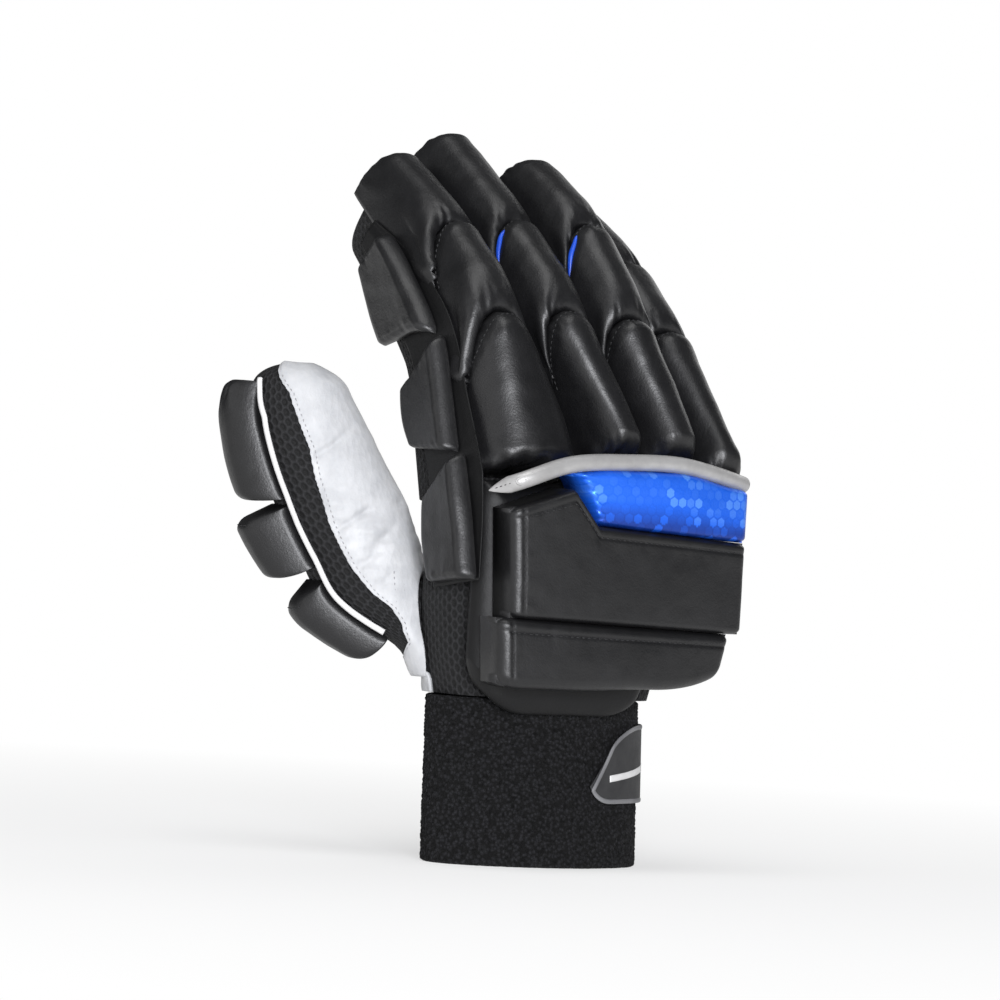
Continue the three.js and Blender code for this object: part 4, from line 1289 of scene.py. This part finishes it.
# %% Thumb piping
BEAD_RADIUS = 1.25
BEAD_HEIGHTS, BEAD_TURNS = (88, 95, 128, 169, 184), (238, 231, 227, 232, 222)
z = np.linspace(BEAD_HEIGHTS[0], BEAD_HEIGHTS[-1], 120)
bead = thumb_point(z, np.radians(np.interp(z, BEAD_HEIGHTS, BEAD_TURNS)), BEAD_RADIUS + 0.9)
bead += 0.25 * noise(bead, 9, 90)[:, None] * np.array([ACROSS[0], ACROSS[1], 0])
outward = bead - thumb_point(z, 0 * z + math.radians(56), 0)
trim = cord_mesh("thumb_piping_cord", bead, outward, BEAD_RADIUS, 0.8)
dress(trim, piping_white, "white_piping", "thumb_piping")
print("thumb made")

# %% [markdown]
# On the back of the hand lie two thick black panels and a blue one, on a softer cushion. A panel is a foam
# board covered in leather: a flat face with a turned seam close to its edges, side walls, and a small radius
# between. Its outline comes from a bottom and a top line over x and two side edges.

# %% Panels
FRONT, BACK = -50, -32.4
PANEL_RIGHT = 63.5
SEAM_IN = 0.6


def lower_foot(x):
    """The lower panel's bottom line, rounded up at both corners."""
    return 70.6 + 5 * corner((-40 - x) / 14) + 1.4 * ease((x + 20) / 40) + 13 * corner((x - 22) / 37)


def lower_head(x):
    """The lower panel's top line."""
    return np.interp(x, (-54, 58), (98, 94.6))


def upper_foot(x):
    """The upper panel's bottom line, a thread's width above the lower panel."""
    return lower_head(x) + 0.15


def notch_line(x):
    """The upper panel's top line: a high part at the thumb's side, a slanted step, and a low part."""
    return np.interp(x, (-51, -23, -11, 62), (139.8, 148.8, 134.8, 130.6))


def accent_foot(x):
    """The blue pad's bottom line, a thread's width above the upper panel."""
    return notch_line(x) + 0.2


def accent_head(x):
    """The blue pad's top line, which follows the pipe's bow."""
    return 151.8 + 5.2 * ease((62 - x) / 36) - 1.6 * ease((-4 - x) / 20)


def straight(low, high):
    """A side edge that runs from x = low at the foot to x = high at the head."""
    return lambda v: mix(low, high, v)


def edge_shares(width, radius, step):
    """Shares across a width in mm that crowd within the radius of both edges."""
    curved = radius * (1 - np.cos(np.linspace(0, np.pi / 2, 14)))
    inner = np.linspace(radius, width - radius, int((width - 2 * radius) / step) + 2)[1:-1]
    return np.concatenate([curved, inner, (width - curved)[::-1]]) / width


def pillow(u, v):
    """A stuffed face's bulge: the root of a sine both ways, 0 at the rims and 1 in the middle."""
    return np.sqrt(np.clip(np.sin(np.pi * u) * np.sin(np.pi * v), 0, 1))


def panel(outline, u, v, depth, radius, relief=0.0, foot=1.0, head=1.0):
    """The panel's front and back grids. Near the edges the face turns back along a quarter circle whose
    corner is rounded both ways; relief is added to the face. foot and head shrink the circle there."""
    x, z, width, height = outline(u, v)
    du = 1 - np.clip(np.minimum(u, 1 - u) * width / radius, 0, 1)
    dv = 1 - np.clip(np.minimum(v / foot, (1 - v) / head) * height / radius, 0, 1)
    turn = np.sqrt(np.clip(1 - du ** 2 - dv ** 2, 0, 1))
    bow = 3 * (2 * u - 1) ** 2
    front = depth + bow
    y = mix(front + radius, front, turn) - relief * turn
    return np.stack([x, y, z], -1), np.stack([x, BACK + 0 * x, z], -1)


def strip_outline(left, right, foot, head):
    """Outline between two side edges, which are functions of v, and two lines, which are functions of x."""
    def outline(u, v):
        """Place across, height, width and length at shares u and v."""
        x = mix(left(v), right(v), u)
        return x, mix(foot(x), head(x), v), right(v) - left(v), head(x) - foot(x)
    return outline


def seam_groove(distance, at, width=0.6):
    """A narrow groove at a distance from an edge, in mm."""
    return -0.4 * bump_at(distance - at, width)


def leather_panel(name, node, outline, wide, high, radius, seed, foot, head, seams=("left", "head")):
    """A black panel with pillowed face, dents, and a groove and stitches at each edge named in seams."""
    u, v = grid(edge_shares(wide, radius, 0.8), edge_shares(high, radius, 0.7))
    x, z, width, height = outline(u, v)
    rims = {"left": u * width, "right": (1 - u) * width, "foot": v * height, "head": (1 - v) * height}
    flat = np.stack([x, FRONT + 0 * x, z], -1)
    relief = 0.9 * pillow(u, v)
    relief += 0.28 * noise(flat, 21, seed) + 0.12 * noise(flat, 6, seed + 1)
    for edge in seams:
        near = rims[edge]
        relief += seam_groove(near, radius + SEAM_IN)
        along_seam = x if edge in ("foot", "head") else z
        gathers = noise(np.stack([along_seam, 0 * x, 0 * x], -1), 3.2, seed + 2)
        relief += 0.22 * gathers * bump_at(near - radius - 2, 2.6)
    front, behind = panel(outline, u, v, FRONT, radius, relief, foot, head)
    out = normals(front, np.array([0, -1.0, 0]))
    for edge in seams:
        near = rims[edge]
        middle = [n // 2 for n in near.shape]
        if edge in ("left", "right"):
            row = np.abs(near[:, middle[1]] - radius - SEAM_IN).argmin()
            sew(front[row, 10:-10], out[row, 10:-10], pitch=2.6, length=1.8)
        else:
            column = np.abs(near[middle[0]] - radius - SEAM_IN).argmin()
            sew(front[12:-12, column], out[12:-12, column], pitch=2.6, length=1.8)
    made = shell(name, front, behind)
    return dress(made, leather_black, "black_leather", node, fill=0.75)


lower_outline = strip_outline(straight(-51.5, -53.5), straight(54.5, 58.5), lower_foot, lower_head)
right_side = straight(PANEL_RIGHT, PANEL_RIGHT)
upper_outline = strip_outline(straight(-47.5, -50.5), right_side, upper_foot, notch_line)
leather_panel("lower_panel_leather", "lower_panel", lower_outline, 112, 24, 4.2, 100, 1.0, 0.7)
leather_panel("upper_panel_leather", "upper_panel", upper_outline, 112, 38, 3.6, 110, 0.7, 0.6)
print("panels made")

# %% [markdown]
# The blue pad fits into the notch of the upper panel. Its foil shows six-sided pale spots: on a lattice of
# hexagons some are picked at random and lightened. Painted shade darkens the pad's lower part, and the puckers
# get painted light on their ridges and painted shade in their hollows. The number is kept with each point of the
# mesh.

# %% Blue pad
HEXAGON = 4.1
TABLE = 97
BLUE_RADIUS = 4.5


def hexagon_spots(x, z, seed=5):
    """1 inside a picked hexagon, 0 outside. The nearest centre of two offset rectangular lattices is the
    hexagon's; the largest of three projections of the offset is the distance to its sides."""
    step = np.array([HEXAGON, HEXAGON * math.sqrt(3)])
    place = np.stack([x, z], -1)
    best, offset, key = None, None, None
    for half in (0, 0.5):
        cell = np.round(place / step - half)
        away = place - (cell + half) * step
        size = (away ** 2).sum(-1)
        if best is None:
            best, offset, key = size, away, cell * 2
        else:
            near = size < best
            best = np.where(near, size, best)
            offset = np.where(near[..., None], away, offset)
            key = np.where(near[..., None], cell * 2 + 1, key)
    sides = [np.abs(offset @ np.array([math.cos(a), math.sin(a)])) for a in (0, math.pi / 3, -math.pi / 3)]
    reach = np.max(sides, axis=0) / (HEXAGON / 2)
    column, row = (key[..., k].astype(int) % TABLE for k in (0, 1))
    pick = np.random.default_rng(seed).random((TABLE, TABLE))[column, row]
    return mix(0.06, 0.95, pick ** 3) * ease((0.93 - reach) / 0.12)


outline = strip_outline(straight(-10.6, -23.6), right_side, accent_foot, accent_head)
u, v = grid(edge_shares(80, BLUE_RADIUS, 0.28), edge_shares(19, BLUE_RADIUS, 0.28))
x, z, width, _ = outline(u, v)
flat = np.stack([x, 0 * x, z], -1)
pucker = np.sin(z * 1.5 + 2.5 * noise(flat, 6, 130)) * bump_at(u * width, 6) * noise(flat, 4, 131)
relief = 0.9 * pillow(u, v) + 1.1 * pucker + 0.2 * noise(flat, 14, 132)
front, behind = panel(outline, u, v, FRONT - 0.5, BLUE_RADIUS, relief, 0.5, 0.55)
# painted shade on the pad's lower part, and painted light and shade on the puckers, are added to the spots
tint = hexagon_spots(x, z) - 0.95 * ease((0.55 - v) / 0.5) + 0.5 * pucker
accent = shell("blue_pad_foil", front, behind, tint)
dress(accent, blue, "blue_foil", "accent_pad", fill=0.75)
print("blue pad", round(float(width.max()), 1), "mm wide")

# %% [markdown]
# The cushion under the panels is softer. It fills the space from the chamber to the panels, hangs over the
# cuff's top edge and bulges in slow folds. Its rims are rounded over a wide radius.

# %% Base cushion
CUSHION_SIDES = (-52, 62.6)
CUSHION_TOP = min(finger_z) + 6
CUSHION_WIDE, CUSHION_HIGH, CUSHION_RADIUS = 114, 80, 11
chamber_front = min(CHAMBER[:, 2] - CHAMBER[:, 4])


def cushion_foot(x):
    """The cushion's bottom line: low over the cuff, rounded up at the thumb's side, in two steps beyond."""
    return 60 + 26 * corner((-26 - x) / 26.5) + 14 * corner((x - 10) / 20) + 26 * ease((x - 28) / 25)


u, v = grid(edge_shares(CUSHION_WIDE, CUSHION_RADIUS, 1.0), edge_shares(CUSHION_HIGH, CUSHION_RADIUS, 1.0))
x = mix(*CUSHION_SIDES, u)
z = mix(cushion_foot(x), CUSHION_TOP, v)
rim = np.minimum(np.minimum(u, 1 - u) * CUSHION_WIDE, np.minimum(v, 1 - v) * CUSHION_HIGH)
soft = rise(rim / CUSHION_RADIUS)
behind_y = mix(-CUFF_HALF[1] - GAP, chamber_front - GAP, ease((z - CUFF_HEIGHT) / 8))
front_y = mix(behind_y, BACK + GAP, mix(0.15, 1, soft))
flat = np.stack([x, front_y, z], -1)
bulge = (0.7 * noise(flat, 18, 140) + 0.35 * noise(flat * [1, 1, 0.5], 7, 141)) * soft
cushion = shell("base_cushion_leather", np.stack([x, front_y - 0.4 - bulge * 0.8, z], -1),
                np.stack([x, behind_y, z], -1))
# the cushion wears the black leather with painted shade
dress(cushion, leather_black_painted_shade, "black_leather", "base_cushion", fill=0.5)
print("cushion foot", round(float(z.min()), 1), "mm, top", round(float(CUSHION_TOP), 1), "mm")

# %% [markdown]
# A silver pipe divides the rolls from the panels. It is a fat round piping, and its end on the thumb's side
# is pressed flat, cut to a point and sewn down, with the knot of the thread in a small eye.

# %% Silver pipe
PIPE = np.array([
    # x, y, z along its middle line
    (-56, -36.5, 146.4), (-48.5, -45, 150.4), (-25, -46.5, 158), (2, -47, 160),
    (29, -47, 159.8), (47.5, -45.5, 156.8), (65, -41.5, 153.2),
])
PIPE_RADIUS = 3.3
PIPE_FLAT = 0.42
EYE, EYE_RADIUS = 20, 1.25
run = np.concatenate([[0], np.cumsum(np.linalg.norm(np.diff(PIPE, axis=0), axis=1))])
t = np.linspace(0, run[-1], 220)
line = np.stack([smooth_along(run, PIPE[:, k], t) for k in range(3)], 1)
press = ease((15 - t) / 11)
point_in = np.clip(t / 9, 0, 1) ** 0.75
end_in = rise((run[-1] - t) / 2.2)
out = np.stack([mix(-0.15, -0.75, press), mix(-0.98, -0.66, press), 0.15 + 0 * t], 1)
pointed = mix(1, 1.12, press) * mix(1, np.maximum(point_in, 0.05), ease((12 - t) / 3))
radius = PIPE_RADIUS * np.minimum(pointed, np.maximum(end_in, 0.1))
flat = mix(1, PIPE_FLAT, press)
pipe = cord_mesh("silver_pipe_cord", line, out, radius, flat, 32)
dress(pipe, silver, "silver_pipe", "knuckle_pipe")
unit = out / np.linalg.norm(out, axis=1, keepdims=True)
face = line + unit * (radius * flat)[:, None]
sew(face[4:26], unit[4:26], pitch=1.9, length=1.3, radius=0.2)
round_eye = np.linspace(0, 2 * np.pi, 25)
across = np.cross(unit[EYE], line[EYE + 1] - line[EYE])
across /= np.linalg.norm(across)
ahead = np.cross(across, unit[EYE])
ring = face[EYE] + EYE_RADIUS * (np.cos(round_eye)[:, None] * across + np.sin(round_eye)[:, None] * ahead)
eye = cord_mesh("pipe_eye", ring, np.tile(unit[EYE], (25, 1)), 0.4, 0.8, 8, closed=True)
dress(eye, silver, "silver_pipe")
print("pipe", round(float(run[-1]), 1), "mm long")

# %% [markdown]
# The cells above have only noted where thread goes. Now all the stitches of a colour become one mesh: black
# thread on the black leather and white on the white.

# %% Threads
thread_piece("black_stitching", "black", thread_black, "black_leather")
thread_piece("white_stitching", "white", thread_white, "white_leather")

# %% [markdown]
# The glove stands on a pale floor in soft light, as in a studio. The floor glows as painted light, at a little
# over half strength under the glove and fully further away, so that it turns into plain white and no horizon
# shows. The brightest light hangs close to the camera, which puts a soft highlight on the middle of each roll. A
# weaker one stands at the left, one hangs above, and one behind draws a bright edge.

# %% Floor and lights
FLOOR_RADIUS = 12.0
turns = np.linspace(0, 2 * np.pi, 97)[:-1]
ring = np.stack([FLOOR_RADIUS * np.cos(turns), FLOOR_RADIUS * np.sin(turns), 0 * turns], 1)
floor_mesh = bpy.data.meshes.new("studio_floor")
floor_mesh.from_pydata(ring.tolist(), [], [list(range(len(ring)))])
floor = bpy.data.objects.new("studio_floor", floor_mesh)
bpy.context.scene.collection.objects.link(floor)
r = Recipe("studio_floor")
away = r.node("ShaderNodeVectorMath", {0: r.place.outputs["Object"]}, operation="LENGTH").outputs["Value"]
# painted light: the floor's share of glow, 0.55 under the glove, rising to full at 0.7 m away
far = r.span(away, 0.0, 0.7, 0.55, 1.0)
glow = r.node("ShaderNodeEmission", {"Color": (1, 1, 1, 1), "Strength": 1.0})
r.shader.inputs["Base Color"].default_value = (0.9, 0.9, 0.9, 1)
r.shader.inputs["Roughness"].default_value = 0.8
blend = r.node("ShaderNodeMixShader", {0: far, 1: r.shader.outputs[0], 2: glow.outputs[0]})
r.link(blend.outputs[0], r.tree.nodes["Material Output"].inputs["Surface"])
floor.data.materials.append(r.material)
floor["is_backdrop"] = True


def area_light(name, place, size, watts, tint=(1, 1, 1)):
    """A square light at place (metres, seen from the glove), turned to the glove's middle."""
    light = bpy.data.lights.new(name, "AREA")
    light.size, light.energy, light.color = size, watts, tint
    obj = bpy.data.objects.new(name, light)
    bpy.context.scene.collection.objects.link(obj)
    middle = Vector(metres(AIM))
    obj.location = middle + Vector(place)
    obj.rotation_mode = "QUATERNION"
    obj.rotation_quaternion = (-Vector(place)).to_track_quat("-Z", "Y")
    return obj


def from_camera(side, forward, height):
    """A place given as right of the camera's view, towards the camera, and up."""
    return tuple(level_right * side + Vector((back.x, back.y, 0)) * forward + Vector((0, 0, height)))


area_light("key", from_camera(0.35, 3.3, 0.35), 1.2, 190, (0.95, 0.96, 1.0))
area_light("fill", from_camera(-1.5, 1.0, 0.6), 1.0, 5)
area_light("top", from_camera(-0.1, 0.5, 1.7), 1.1, 15)
area_light("edge", from_camera(0.9, -1.5, 0.8), 1.0, 6)

world = bpy.data.worlds.new("studio")
world.use_nodes = True
bpy.context.scene.world = world
tree = world.node_tree
sky = tree.nodes["Background"]
sky.inputs["Color"].default_value = (0.95, 0.97, 1.0, 1)
sky.inputs["Strength"].default_value = 0.1
white = tree.nodes.new("ShaderNodeBackground")
white.inputs["Strength"].default_value = 1.0
white.inputs["Color"].default_value = (1, 1, 1, 1)
seen = tree.nodes.new("ShaderNodeLightPath")
choice = tree.nodes.new("ShaderNodeMixShader")
tree.links.new(seen.outputs["Is Camera Ray"], choice.inputs[0])
tree.links.new(sky.outputs[0], choice.inputs[1])
tree.links.new(white.outputs[0], choice.inputs[2])
tree.links.new(choice.outputs[0], tree.nodes["World Output"].inputs["Surface"])
bpy.context.scene.view_settings.view_transform = "Standard"

# %% [markdown]
# The boxes of the frame and of the made pieces are printed. The looks may not outgrow
# the frame.

# %% Sizes and the end
made_box = [list(corner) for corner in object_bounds()]
for label, box in (("frame", cad_box), ("made", made_box)):
    print(label, [[round(value, 4) for value in corner_point] for corner_point in box])
